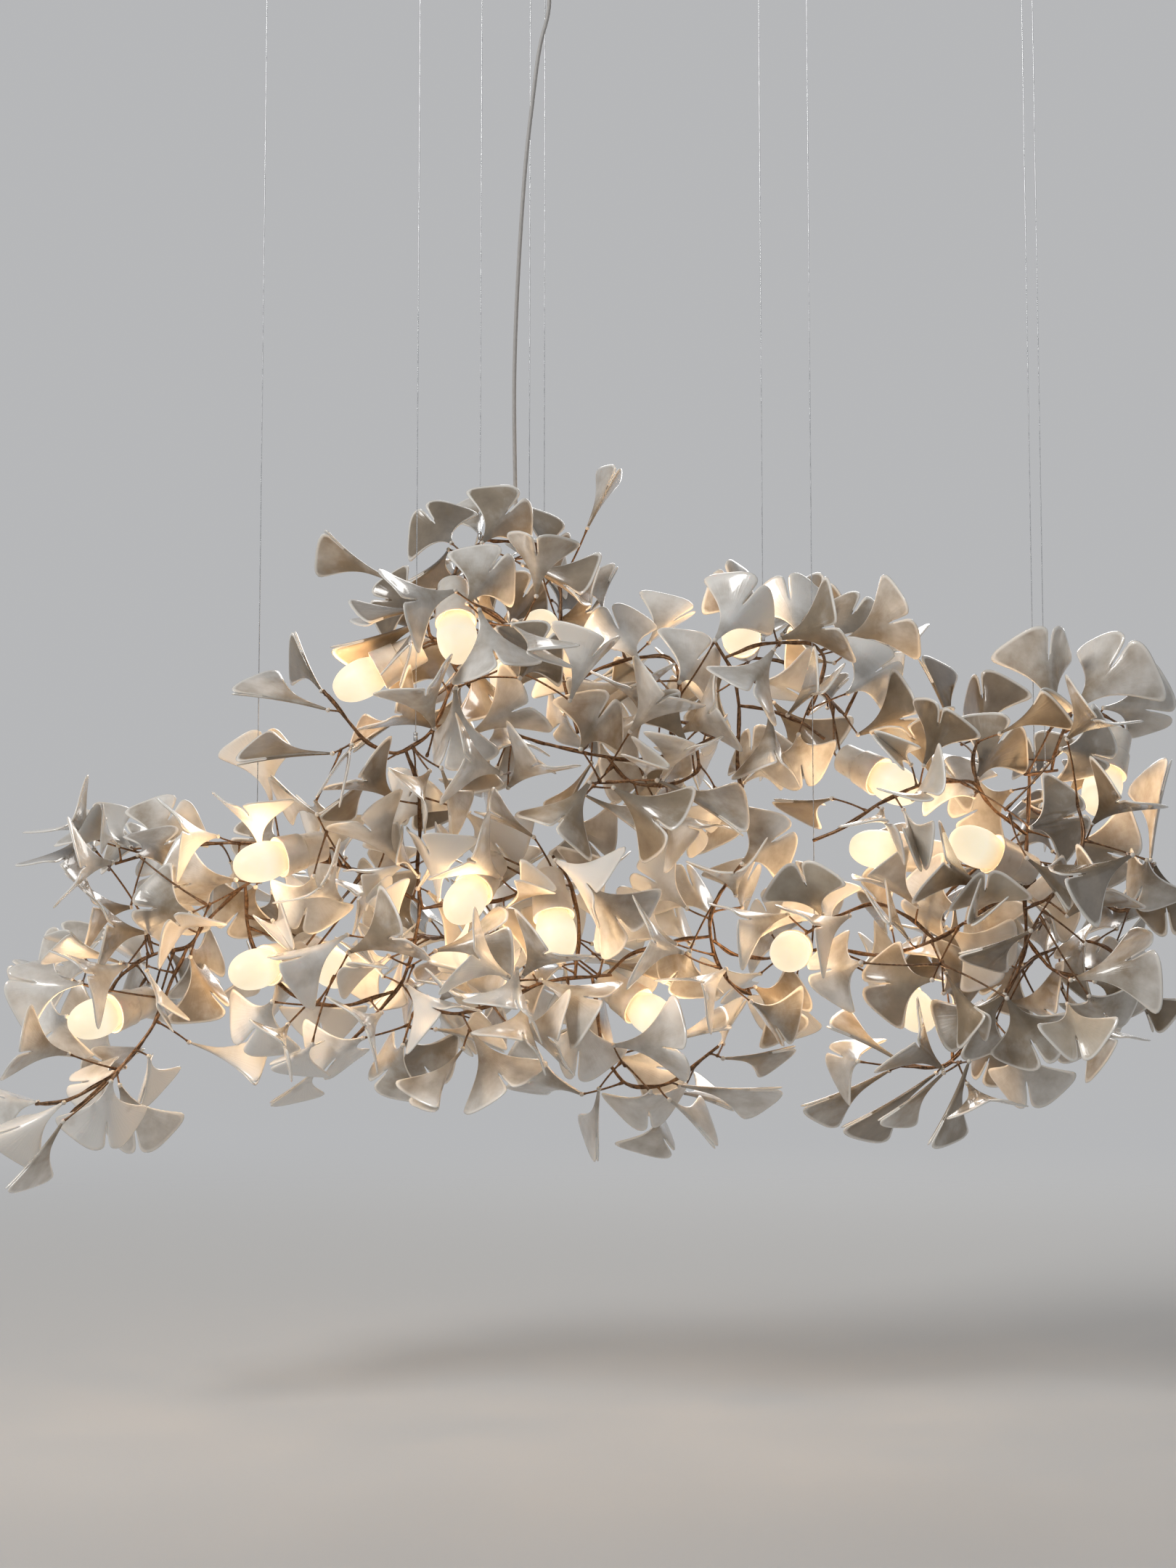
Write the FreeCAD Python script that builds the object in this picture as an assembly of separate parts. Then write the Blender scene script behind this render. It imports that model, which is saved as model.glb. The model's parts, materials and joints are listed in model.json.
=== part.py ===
import FreeCAD, Part

import math
import os
import random
from itertools import product

# A hanging light of porcelain ginkgo leaves on bronze branches, in millimetres.
# The origin is on the ceiling, at the middle of the power cord's canopy bracket. +Z is up, and
# +Y points away from the viewer of the reference view.

# Driving dimensions

# Reference view: places on the object are given as pixels of this view and a share of the depth
mm_per_pixel = 0.85
view_distance = 2750.0
view_pitch_degrees = 5.0
view_centre_pixel = (810, 1080)
canopy_pixel = (757, -75)
spray_half_depth = 260.0

# Porcelain leaves
leaf_length = 92.0
leaf_thickness = 2.4
leaf_half_outline_shares = [(0.12, 0.34), (0.61, 0.655), (0.35, 0.965), (0.035, 0.985)]
leaf_slit_share = 0.60
leaf_centre_share = 0.44
leaf_arch_share = 0.10
leaf_size_limits_shares = (0.84, 1.38)
leaf_clearance = 7.4
leaf_sample_spacing = 7.0

# Bronze branches and twigs
rod_diameter = 3.8
twig_diameter = 2.4
rod_sides = 5
twig_sides = 3
seat_reach = 14.0
seat_step = 0.05
seat_stations = 7
braze_gap = 0.3
metal_clearance = 1.6
twig_reach = 105.0
twig_start_step = 5.0

# Lamps: porcelain cup, contact insert, frosted bulb and two stems
lamp_sides = 8
cup_length = 58.0
cup_mouth_diameter = 48.0
cup_step_diameter = 43.0
cup_waist_diameter = 39.5
cup_back_diameter = 36.0
cup_step_depth = 28.0
cup_wall = 2.4
cup_back_wall = 4.0
cup_throat_depth = 24.0
bulb_cap_diameter = 14.0
bulb_cap_length = 18.5
bulb_mouth_diameter = 37.0
bulb_diameter = 46.0
bulb_glass_length = 56.0
bulb_tip_diameter = 15.0
bulb_crown_shares = (0.32, 0.70)
bulb_shoulder_share = 0.90
cap_clearance = 2.0
insert_diameter = 15.6
insert_back_gap = 0.4
bulb_seat_gap = 0.3
bulb_travel = 26.0
stem_diameter = 2.6
stem_sides = 4
stem_spacing = 13.0
stem_straight = 9.0
stem_reach = 140.0
stem_margin = 9.0
lamp_clearance = 4.0

# Suspension wires with their ceiling anchors, grippers and ferrules
wire_diameter = 1.2
wire_sides = 4
anchor_diameter = 18.0
anchor_length = 9.0
gripper_diameter = 9.0
gripper_nose_diameter = 4.0
gripper_length = 22.0
ferrule_diameter = 5.0
ferrule_length = 10.0
fitting_sides = 6

# Power cord and its canopy
cord_diameter = 4.8
cord_bend_share = 0.45
sleeve_diameter = 9.0
sleeve_length = 14.0
bracket_length = 80.0
bracket_width = 20.0
bracket_thickness = 2.0
bracket_hole_diameter = 4.5
bracket_hole_spacing = 60.0
cover_diameter = 100.0
cover_height = 26.0
cover_wall = 1.2
cover_ceiling_gap = 0.3
cover_hole_clearance = 1.2
cover_travel = 28.0
grip_diameter = 14.0
grip_length = 12.0
grip_nose_diameter = 9.0
terminal_length = 24.0
terminal_width = 12.0
terminal_height = 13.0
terminal_offset = 25.0
terminal_gap = 0.3
collar_diameter = 12.0
collar_length = 9.0
collar_bore_clearance = 0.4
collar_gap = 0.3
collar_edge = 1.5
collar_sides = 12
cover_edge = 4.0
cover_sides = 20
screw_head_diameter = 8.0
screw_head_height = 2.2
screw_gap = 0.3

# The power cord's route below the grip: pixel of the view and share of the depth
cord_route = [(743, 62, -0.01), (734, 136, 0.0), (725, 212, 0.02), (719, 290, 0.05),
              (714, 372, 0.08), (710, 455, 0.11), (708, 540, 0.14), (709, 622, 0.17),
              (710, 684, 0.19)]
cord_end_pixel = (711, 748, 0.21)
cord_straight_margin = 7.0
cord_straight_length = cover_height + cover_travel + collar_length + cord_straight_margin

# Branches: name, cluster, joined at the start, joined at the end, then the points
branches = [
    ("crown_mast", "crown", False, False,
     [(668, 744, 0.06), (632, 770, 0.0), (620, 815, -0.05), (612, 880, -0.10), (626, 924, -0.12),
      (668, 964, -0.10), (702, 1010, -0.05), (756, 1026, 0.0)]),
    ("crown_right", "crown", True, False,
     [(670, 743, 0.07), (706, 746, 0.20), (758, 754, 0.29), (774, 812, 0.30), (768, 900, 0.20),
      (780, 955, 0.12), (796, 1010, 0.06)]),
    ("crown_back", "crown", True, True,
     [(634, 768, 0.0), (643, 800, 0.24), (640, 865, 0.34), (652, 935, 0.28), (712, 1014, -0.04)]),
    ("crown_left", "crown", True, True,
     [(628, 790, -0.02), (602, 812, -0.20), (588, 850, -0.26), (592, 880, -0.24), (612, 884, -0.11)]),
    ("crown_front", "crown", True, False,
     [(622, 808, -0.04), (650, 832, -0.24), (684, 844, -0.34), (716, 880, -0.40), (718, 930, -0.38)]),
    ("crown_loop", "crown", True, False,
     [(629, 927, -0.12), (612, 970, -0.22), (592, 1014, -0.27), (546, 1042, -0.30),
      (503, 1022, -0.34), (446, 952, -0.38)]),
    ("spine_main", "spine", True, False,
     [(742, 1022, -0.01), (800, 1037, -0.04), (872, 1048, -0.08), (935, 1040, -0.09),
      (978, 1018, -0.09), (1004, 1003, -0.085)]),
    ("arch_main", "arch", False, False,
     [(985, 884, -0.16), (1012, 930, -0.10), (1020, 985, -0.08), (1014, 1062, -0.10),
      (1028, 1112, -0.13), (1056, 1150, -0.18)]),
    ("spine_top", "spine", True, True,
     [(780, 950, 0.11), (815, 925, 0.05), (866, 906, 0.0), (930, 903, -0.04), (940, 960, -0.10),
      (914, 1042, -0.09)]),
    ("spine_back", "spine", True, True,
     [(800, 1037, -0.03), (826, 1000, 0.22), (885, 985, 0.32), (948, 996, 0.26), (982, 1014, -0.09)]),
    ("spine_front", "spine", True, True,
     [(836, 1043, -0.06), (868, 1080, -0.20), (922, 1084, -0.24), (964, 1064, -0.20),
      (960, 1028, -0.09)]),
    ("arch_top", "arch", True, False,
     [(998, 905, -0.12), (1050, 886, -0.10), (1118, 884, -0.10), (1138, 906, -0.10),
      (1124, 962, -0.10), (1112, 985, -0.12)]),
    ("arch_arm", "arch", True, False,
     [(1018, 972, -0.08), (1062, 978, -0.11), (1104, 994, -0.15), (1136, 1018, -0.19)]),
    ("arch_right", "arch", True, False,
     [(1130, 897, -0.10), (1160, 882, -0.02), (1186, 896, 0.04), (1186, 940, 0.04), (1164, 986, 0.0)]),
    ("arch_back", "arch", True, True,
     [(1013, 934, -0.10), (1020, 934, 0.30), (1034, 905, 0.60), (1082, 912, 0.56), (1142, 962, 0.22),
      (1163, 984, 0.0)]),
    ("right_yoke", "right", False, False,
     [(1412, 1067, -0.08), (1456, 1061, 0.14)]),
    ("right_mast", "right", True, False,
     [(1417, 1066, -0.05), (1418, 1108, -0.06), (1411, 1190, -0.08), (1414, 1300, -0.08),
      (1400, 1345, -0.10), (1386, 1370, -0.12)]),
    ("right_top", "right", True, False,
     [(1449, 1062, 0.10), (1454, 1034, 0.09), (1464, 1008, 0.06), (1476, 984, 0.06)]),
    ("right_shoulder", "right", True, False,
     [(1462, 1012, 0.06), (1492, 992, 0.0), (1518, 984, -0.04)]),
    ("right_left", "right", True, False,
     [(1412, 1150, -0.07), (1364, 1112, -0.16), (1344, 1075, -0.22), (1272, 1079, -0.36),
      (1215, 1103, -0.40), (1165, 1140, -0.38), (1120, 1158, -0.32)]),
    ("right_left_up", "right", True, False,
     [(1345, 1076, -0.21), (1340, 1046, -0.16), (1346, 1020, -0.10)]),
    ("right_low_left", "right", True, False,
     [(1410, 1215, -0.08), (1375, 1242, -0.13), (1300, 1289, -0.20), (1258, 1307, -0.18),
      (1210, 1319, -0.10)]),
    ("right_wire_arm", "right", False, True,
     [(1110, 1286, -0.25), (1150, 1264, -0.22), (1205, 1240, -0.17), (1250, 1262, -0.17),
      (1286, 1291, -0.19)]),
    ("right_ring", "right", True, True,
     [(1414, 1292, -0.08), (1450, 1340, -0.24), (1508, 1350, -0.26), (1545, 1318, -0.02),
      (1498, 1292, 0.20), (1432, 1314, 0.14), (1402, 1342, -0.09)]),
    ("right_right", "right", True, False,
     [(1411, 1180, -0.08), (1462, 1204, 0.02), (1546, 1262, 0.08), (1580, 1226, 0.04),
      (1587, 1190, 0.0)]),
    ("right_back", "right", True, True,
     [(1418, 1112, -0.06), (1446, 1130, 0.20), (1462, 1190, 0.36), (1444, 1262, 0.34),
      (1415, 1290, -0.07)]),
    ("right_back_left", "right", True, True,
     [(1413, 1158, -0.08), (1372, 1176, 0.18), (1318, 1216, 0.26), (1280, 1262, 0.12),
      (1272, 1302, -0.18)]),
    ("right_front", "right", True, False,
     [(1412, 1252, -0.08), (1442, 1240, -0.28), (1478, 1205, -0.38), (1496, 1150, -0.38),
      (1484, 1108, -0.32)]),
    ("right_bottom", "right", True, False,
     [(1390, 1362, -0.12), (1352, 1420, -0.14), (1300, 1474, -0.12), (1236, 1464, -0.10)]),
    ("mid_stem", "middle", True, False,
     [(1052, 1146, -0.18), (1026, 1184, -0.21), (990, 1232, -0.20), (976, 1272, -0.18),
      (984, 1322, -0.16), (1006, 1356, -0.15), (1034, 1370, -0.13)]),
    ("mid_link", "middle", True, True,
     [(979, 1294, -0.17), (1012, 1316, -0.08), (1052, 1322, 0.12), (1096, 1312, 0.24),
      (1150, 1306, 0.14), (1216, 1318, -0.10)]),
    ("low_mast", "lower_left", False, False,
     [(576, 1206, -0.10), (580, 1250, -0.13), (566, 1320, -0.18), (552, 1360, -0.20),
      (490, 1428, -0.22)]),
    ("drop_link", "lower_left", True, True,
     [(562, 1038, -0.30), (576, 1082, -0.24), (580, 1140, -0.17), (574, 1190, -0.12),
      (577, 1212, -0.10)]),
    ("low_ring", "lower_left", True, False,
     [(554, 1354, -0.20), (576, 1386, -0.24), (628, 1399, -0.26), (684, 1384, -0.24),
      (745, 1352, -0.18), (842, 1343, -0.15)]),
    ("left_spine", "lower_left", True, False,
     [(579, 1244, -0.13), (530, 1212, -0.06), (440, 1183, -0.06), (392, 1190, -0.09),
      (330, 1222, -0.10), (278, 1276, -0.10)]),
    ("low_left_arc", "lower_left", True, True,
     [(548, 1362, -0.20), (478, 1388, -0.26), (410, 1378, -0.22), (362, 1336, -0.08),
      (340, 1278, -0.02), (338, 1218, -0.09)]),
    ("left_top", "lower_left", True, False,
     [(402, 1189, -0.08), (388, 1162, 0.02), (316, 1160, 0.10), (230, 1168, 0.10),
      (158, 1190, 0.02)]),
    ("right_down", "lower_middle", False, True,
     [(762, 1180, -0.20), (787, 1216, -0.15), (799, 1270, -0.12), (792, 1347, -0.17)]),
    ("low_right", "lower_middle", True, True,
     [(580, 1252, -0.13), (632, 1244, -0.16), (700, 1240, -0.20), (772, 1196, -0.18)]),
    ("low_back", "lower_middle", True, True,
     [(574, 1290, -0.16), (606, 1292, 0.14), (668, 1284, 0.26), (742, 1284, 0.20),
      (798, 1292, -0.12)]),
    ("mid_left", "middle", True, True,
     [(977, 1290, -0.17), (930, 1296, -0.06), (868, 1312, -0.06), (836, 1343, -0.15)]),
    ("low_bottom", "lower_middle", True, False,
     [(816, 1346, -0.16), (830, 1452, -0.18), (864, 1500, -0.21), (920, 1496, -0.21),
      (990, 1441, -0.20)]),
    ("tail_upper", "tail", True, False,
     [(282, 1272, -0.10), (262, 1304, -0.10), (208, 1314, -0.06), (162, 1346, 0.0),
      (138, 1390, 0.02), (140, 1424, 0.0)]),
    ("tail_lower", "tail", True, False,
     [(258, 1304, -0.10), (236, 1350, -0.15), (214, 1412, -0.16), (158, 1482, -0.20),
      (96, 1516, -0.14), (50, 1521, -0.06)]),
    ("tail_twig", "tail", True, False,
     [(150, 1488, -0.19), (116, 1518, -0.26), (88, 1544, -0.27)]),
    ("tail_top", "tail", True, False,
     [(210, 1312, -0.06), (204, 1286, 0.0), (197, 1262, 0.04)]),
]

# Wires: the pixel on a branch where the ferrule sits, and the share of the depth there
wires = [
    (352, 1208, -0.10), (573, 1026, -0.29), (661, 749, 0.05), (729, 750, 0.24), (749, 753, 0.28),
    (1051, 886, -0.10), (1122, 1280, -0.24), (1425, 1065, -0.015), (1440, 1063, 0.06),
]

# Lamps: pixel of the cup's mouth, pixel of the bulb's tip, share of the depth at the mouth, and
# +1 where the bulb points away from the viewer or -1 where it points nearer
lamps = [
    (520, 924, 458, 957, -0.22, -1),
    (628, 858, 632, 910, -0.10, -1),
    (742, 872, 748, 858, 0.04, -1),
    (702, 908, 697, 955, 0.30, -1),
    (1022, 880, 1017, 868, 0.26, -1),
    (384, 1181, 324, 1197, -0.10, -1),
    (368, 1330, 322, 1344, -0.06, -1),
    (152, 1396, 98, 1414, 0.04, -1),
    (446, 1324, 474, 1346, -0.12, -1),
    (652, 1226, 624, 1264, -0.20, -1),
    (763, 1264, 772, 1324, -0.14, -1),
    (880, 1386, 928, 1420, 0.0, -1),
    (1091, 1309, 1083, 1316, 0.12, -1),
    (1236, 1173, 1167, 1165, -0.04, -1),
    (1366, 1176, 1312, 1152, 0.02, -1),
    (1524, 1066, 1509, 1121, -0.04, -1),
    (1246, 1378, 1280, 1412, 0.04, -1),
    (1212, 1070, 1262, 1096, 0.04, -1),
]

# Leaves read off the view, front ones first in each cluster: pixel of the base, pixel between
# the two lobes, share of the depth, +1 for leaning away or -1 for leaning nearer, degrees of turn
# about the midrib, and degrees of fold at the midrib
placed_leaves = {
    "crown": [
        (644, 831, 697, 757, -0.50, 1, 5, 34), (664, 748, 722, 680, -0.30, 1, 5, 30),
        (622, 748, 580, 695, -0.12, 1, 5, 30), (622, 937, 572, 885, -0.58, 1, 12, 25),
        (628, 947, 608, 1058, -0.58, 1, 30, 40), (660, 840, 690, 918, -0.48, -1, 10, 25),
        (608, 1058, 621, 1158, -0.52, 1, 20, 78), (648, 1012, 732, 970, -0.36, -1, 15, 30),
        (598, 1003, 588, 945, -0.46, -1, 20, 30), (716, 948, 764, 878, -0.38, 1, 10, 30),
        (600, 848, 450, 893, -0.36, 1, 20, 78), (596, 1002, 540, 985, -0.36, -1, 25, 30),
        (634, 945, 652, 1012, -0.34, 1, 40, 55), (443, 952, 404, 868, -0.34, 1, 15, 77),
        (703, 862, 738, 792, -0.30, 1, 10, 30), (437, 1122, 370, 1066, -0.30, 1, 15, 78),
        (627, 814, 554, 826, -0.28, -1, 20, 25), (458, 1038, 325, 1052, -0.26, 1, 15, 78),
        (527, 1050, 437, 1125, -0.22, 1, 15, 78), (452, 978, 318, 954, -0.20, 1, 15, 78),
        (590, 838, 508, 860, -0.12, -1, 20, 78), (720, 778, 800, 824, -0.10, -1, 30, 55),
        (704, 858, 668, 820, -0.05, -1, 15, 25), (572, 1062, 562, 1142, -0.12, 1, 25, 30),
        (618, 757, 560, 803, 0.06, 1, 30, 71), (545, 1102, 488, 1072, 0.0, -1, 30, 25),
        (750, 768, 782, 728, 0.10, 1, 30, 25), (662, 738, 668, 683, 0.16, 1, 35, 55),
        (768, 856, 815, 838, 0.16, -1, 10, 25), (742, 792, 768, 752, 0.30, 1, 10, 25),
        (770, 842, 808, 790, 0.36, 1, 15, 25),
    ],
    "spine": [
        (812, 1078, 762, 1140, -0.45, -1, 10, 30), (785, 965, 838, 880, -0.52, -1, 35, 40),
        (800, 1032, 845, 958, -0.48, 1, 10, 30), (905, 1075, 1025, 1150, -0.46, 1, 20, 73),
        (805, 1095, 902, 1163, -0.40, 1, 20, 75), (868, 1008, 920, 958, -0.38, -1, 15, 30),
        (936, 940, 985, 885, -0.36, 1, 15, 25), (845, 1085, 925, 1150, -0.30, -1, 10, 25),
        (780, 1130, 835, 1185, -0.20, 1, 10, 30), (905, 1108, 968, 1142, -0.16, -1, 35, 30),
        (880, 910, 838, 832, -0.16, 1, 20, 25), (882, 978, 862, 945, -0.18, -1, 30, 25),
        (985, 955, 925, 925, -0.12, -1, 35, 30), (935, 1010, 985, 970, -0.14, -1, 25, 25),
        (893, 886, 958, 838, 0.10, 1, 30, 55), (830, 842, 852, 776, 0.20, 1, 30, 69),
        (700, 1085, 745, 1052, -0.20, -1, 25, 30), (690, 1065, 640, 1040, -0.30, -1, 20, 25),
    ],
    "arch": [
        (985, 882, 1050, 800, -0.46, 1, 5, 30), (1022, 1190, 1095, 1140, -0.42, 1, 10, 30),
        (1066, 895, 1035, 955, -0.30, -1, 15, 25), (1022, 1078, 1035, 1000, -0.30, 1, 35, 30),
        (1100, 1012, 1110, 1088, -0.26, 1, 10, 30), (1168, 955, 1238, 905, -0.22, 1, 10, 30),
        (1075, 880, 1155, 862, -0.24, -1, 10, 25), (1146, 1100, 1062, 1102, -0.22, 1, 20, 75),
        (1085, 985, 1130, 955, -0.10, -1, 30, 69), (1025, 1078, 1082, 1012, -0.10, 1, 25, 75),
        (1163, 882, 1255, 848, 0.02, -1, 5, 20), (1140, 975, 1172, 930, 0.0, 1, 30, 69),
        (1100, 872, 1082, 790, 0.10, 1, 10, 20), (1150, 878, 1190, 818, 0.18, 1, 15, 25),
        (1185, 890, 1250, 895, 0.20, -1, 25, 25), (1060, 985, 1075, 1050, 0.05, -1, 25, 45),
    ],
    "right": [
        (1298, 1350, 1200, 1356, -0.50, 1, 5, 30), (1420, 1140, 1500, 1118, -0.60, 1, 5, 20),
        (1415, 1182, 1472, 1258, -0.60, 1, 20, 77), (1420, 1282, 1318, 1315, -0.56, 1, 20, 75),
        (1462, 1032, 1535, 1050, -0.52, 1, 15, 30), (1387, 1375, 1440, 1470, -0.50, 1, 5, 30),
        (1300, 1368, 1355, 1335, -0.50, 1, 20, 30), (1342, 1098, 1295, 1045, -0.46, 1, 15, 30),
        (1580, 1185, 1560, 1250, -0.46, 1, 25, 40), (1560, 1178, 1462, 1208, -0.42, -1, 35, 35),
        (1350, 1222, 1300, 1182, -0.42, -1, 25, 30), (1384, 1370, 1318, 1455, -0.42, 1, 20, 30),
        (1495, 1300, 1450, 1325, -0.40, 1, 35, 30), (1302, 1250, 1225, 1235, -0.38, 1, 15, 30),
        (1508, 1352, 1592, 1372, -0.36, 1, 10, 25), (1303, 1352, 1272, 1300, -0.36, 1, 20, 30),
        (1335, 1462, 1280, 1578, -0.36, 1, 15, 77), (1182, 1462, 1138, 1446, -0.36, 1, 10, 40),
        (1470, 1262, 1528, 1222, -0.32, -1, 15, 25), (1300, 1478, 1210, 1545, -0.30, 1, 15, 78),
        (1385, 1365, 1300, 1415, -0.30, 1, 30, 50), (1372, 1405, 1348, 1492, -0.30, 1, 30, 35),
        (1495, 1335, 1520, 1288, -0.30, 1, 25, 30), (1500, 1372, 1535, 1422, -0.30, 1, 20, 30),
        (1400, 1440, 1418, 1528, -0.22, 1, 20, 25), (1470, 1018, 1515, 992, -0.22, -1, 30, 30),
        (1346, 1072, 1398, 992, -0.20, 1, 10, 25), (1455, 985, 1448, 862, -0.18, 1, 30, 35),
        (1475, 1350, 1590, 1302, -0.20, -1, 30, 30), (1240, 1462, 1142, 1415, -0.20, -1, 15, 78),
        (1590, 1190, 1612, 1290, -0.20, 1, 20, 30), (1298, 1472, 1262, 1432, -0.12, -1, 20, 30),
        (1290, 1478, 1158, 1555, -0.10, 1, 15, 78), (1585, 1185, 1612, 1045, -0.10, 1, 15, 75),
        (1520, 975, 1618, 985, -0.10, 1, 20, 30), (1505, 1135, 1550, 1100, -0.10, -1, 20, 25),
        (1390, 1380, 1455, 1402, -0.10, -1, 35, 30), (1480, 1398, 1545, 1432, -0.10, -1, 35, 35),
        (1225, 1475, 1105, 1525, 0.0, -1, 15, 75), (1182, 1012, 1268, 985, 0.0, -1, 20, 25),
        (1478, 980, 1556, 876, 0.0, 1, 25, 25), (1285, 1068, 1245, 1000, 0.10, -1, 20, 25),
        (1318, 1020, 1266, 906, 0.10, 1, 15, 78), (1350, 1018, 1348, 925, 0.16, 1, 30, 35),
    ],
    "middle": [
        (1186, 1326, 1110, 1340, -0.56, 1, 10, 35), (1035, 1380, 1085, 1442, -0.36, 1, 30, 55),
        (1085, 1260, 1015, 1262, -0.30, -1, 30, 40), (950, 1310, 915, 1362, -0.30, 1, 15, 25),
        (950, 1300, 925, 1232, -0.20, 1, 30, 50), (1040, 1360, 1118, 1400, -0.20, 1, 15, 25),
        (1022, 1250, 1045, 1185, -0.10, 1, 30, 50), (940, 1312, 895, 1290, -0.10, -1, 25, 25),
        (980, 1260, 942, 1188, 0.0, 1, 30, 45), (1145, 1270, 1105, 1215, -0.20, 1, 20, 50),
        (1000, 1335, 962, 1352, -0.26, -1, 25, 40), (1120, 1250, 1160, 1225, 0.10, 1, 15, 25),
        (1170, 1262, 1120, 1275, 0.05, -1, 20, 30), (1200, 1340, 1175, 1385, -0.20, 1, 20, 30),
    ],
    "lower_middle": [
        (795, 1385, 792, 1490, -0.46, 1, 20, 40), (600, 1310, 700, 1270, -0.52, -1, 30, 35),
        (682, 1238, 765, 1174, -0.50, 1, 20, 71), (830, 1325, 950, 1368, -0.45, 1, 20, 73),
        (640, 1118, 705, 1195, -0.40, 1, 25, 35), (896, 1504, 895, 1558, -0.40, 1, 10, 30),
        (800, 1215, 870, 1290, -0.40, -1, 15, 25), (700, 1345, 650, 1310, -0.40, -1, 15, 25),
        (560, 1357, 612, 1392, -0.40, -1, 30, 30), (840, 1455, 945, 1475, -0.36, 1, 20, 30),
        (745, 1350, 835, 1375, -0.36, -1, 35, 25), (922, 1515, 988, 1583, -0.36, 1, 15, 77),
        (825, 1500, 822, 1602, -0.30, 1, 10, 78), (558, 1432, 605, 1500, -0.30, 1, 5, 25),
        (600, 1418, 698, 1450, -0.30, 1, 20, 75), (835, 1335, 890, 1388, -0.30, 1, 20, 30),
        (690, 1210, 645, 1185, -0.30, -1, 15, 25), (765, 1185, 820, 1235, -0.30, -1, 30, 30),
        (835, 1380, 852, 1450, -0.30, 1, 30, 45), (815, 1300, 882, 1315, -0.30, 1, 30, 30),
        (925, 1506, 1000, 1530, -0.30, 1, 15, 77), (655, 1405, 695, 1450, -0.28, 1, 20, 69),
        (893, 1540, 915, 1590, -0.20, 1, 30, 50), (705, 1415, 768, 1440, -0.20, -1, 30, 30),
        (996, 1458, 1098, 1442, -0.20, 1, 15, 78), (845, 1440, 945, 1450, -0.20, -1, 25, 25),
        (996, 1438, 1028, 1374, -0.10, 1, 20, 71), (935, 1495, 1078, 1500, -0.10, 1, 15, 78),
        (720, 1345, 760, 1310, -0.10, -1, 20, 25), (640, 1350, 690, 1375, -0.20, -1, 25, 25),
    ],
    "lower_left": [
        (432, 1207, 412, 1285, -0.56, 1, 5, 30), (338, 1222, 292, 1285, -0.50, 1, 5, 30),
        (374, 1244, 362, 1342, -0.44, 1, 10, 78), (435, 1118, 440, 1182, -0.50, 1, 25, 35),
        (375, 1380, 330, 1445, -0.46, 1, 10, 25), (432, 1375, 445, 1440, -0.46, 1, 15, 25),
        (555, 1440, 510, 1495, -0.40, 1, 30, 35), (480, 1312, 560, 1290, -0.42, -1, 25, 25),
        (462, 1182, 410, 1185, -0.36, 1, 20, 30), (478, 1288, 380, 1325, -0.36, -1, 35, 40),
        (500, 1430, 440, 1485, -0.36, 1, 30, 40), (325, 1212, 222, 1228, -0.30, 1, 25, 35),
        (385, 1156, 318, 1150, -0.30, 1, 10, 30), (430, 1425, 368, 1456, -0.30, 1, 20, 69),
        (262, 1306, 308, 1352, -0.46, 1, 20, 30), (262, 1258, 180, 1250, -0.26, 1, 10, 30),
        (548, 1190, 492, 1128, -0.20, -1, 20, 30), (440, 1470, 370, 1522, -0.20, 1, 15, 77),
        (190, 1178, 252, 1145, -0.20, 1, 25, 30), (200, 1285, 148, 1268, -0.20, -1, 30, 30),
        (130, 1170, 148, 1121, -0.20, 1, 25, 69), (262, 1318, 315, 1392, -0.16, 1, 35, 40),
        (300, 1152, 250, 1140, -0.10, -1, 30, 25), (115, 1150, 78, 1190, -0.10, -1, 20, 30),
        (155, 1188, 110, 1200, -0.10, -1, 25, 25), (240, 1190, 185, 1212, -0.10, 1, 20, 25),
        (208, 1168, 248, 1098, 0.0, 1, 10, 20), (130, 1148, 92, 1138, 0.0, -1, 35, 30),
        (215, 1162, 182, 1135, 0.10, 1, 30, 30), (470, 1240, 440, 1225, -0.20, -1, 20, 25),
        (530, 1225, 500, 1175, -0.34, 1, 20, 30), (180, 1250, 128, 1245, -0.05, -1, 20, 30),
    ],
    "tail": [
        (153, 1490, 148, 1585, -0.46, 1, 15, 25), (92, 1400, 50, 1440, -0.36, 1, 10, 30),
        (232, 1308, 262, 1382, -0.36, 1, 20, 71), (205, 1355, 172, 1385, -0.30, 1, 15, 30),
        (158, 1475, 90, 1492, -0.30, 1, 30, 40), (168, 1398, 238, 1396, -0.30, 1, 20, 75),
        (87, 1545, 8, 1640, -0.30, 1, 15, 77), (165, 1495, 190, 1590, -0.24, 1, 25, 25),
        (112, 1355, 8, 1345, -0.26, 1, 25, 35), (205, 1455, 190, 1530, -0.20, 1, 20, 71),
        (88, 1519, -14, 1565, -0.20, 1, 30, 50), (158, 1470, 105, 1450, -0.20, 1, 25, 30),
        (160, 1468, 198, 1448, -0.20, 1, 25, 30), (175, 1330, 118, 1340, -0.10, -1, 25, 25),
        (115, 1318, 78, 1272, -0.10, 1, 10, 25), (100, 1350, 12, 1325, -0.10, 1, 25, 55),
        (262, 1370, 250, 1412, -0.10, 1, 30, 50), (165, 1410, 85, 1425, 0.05, 1, 20, 25),
        (118, 1335, 62, 1320, 0.05, 1, 20, 25), (52, 1518, -26, 1500, 0.0, 1, 30, 55),
    ],
}

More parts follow.
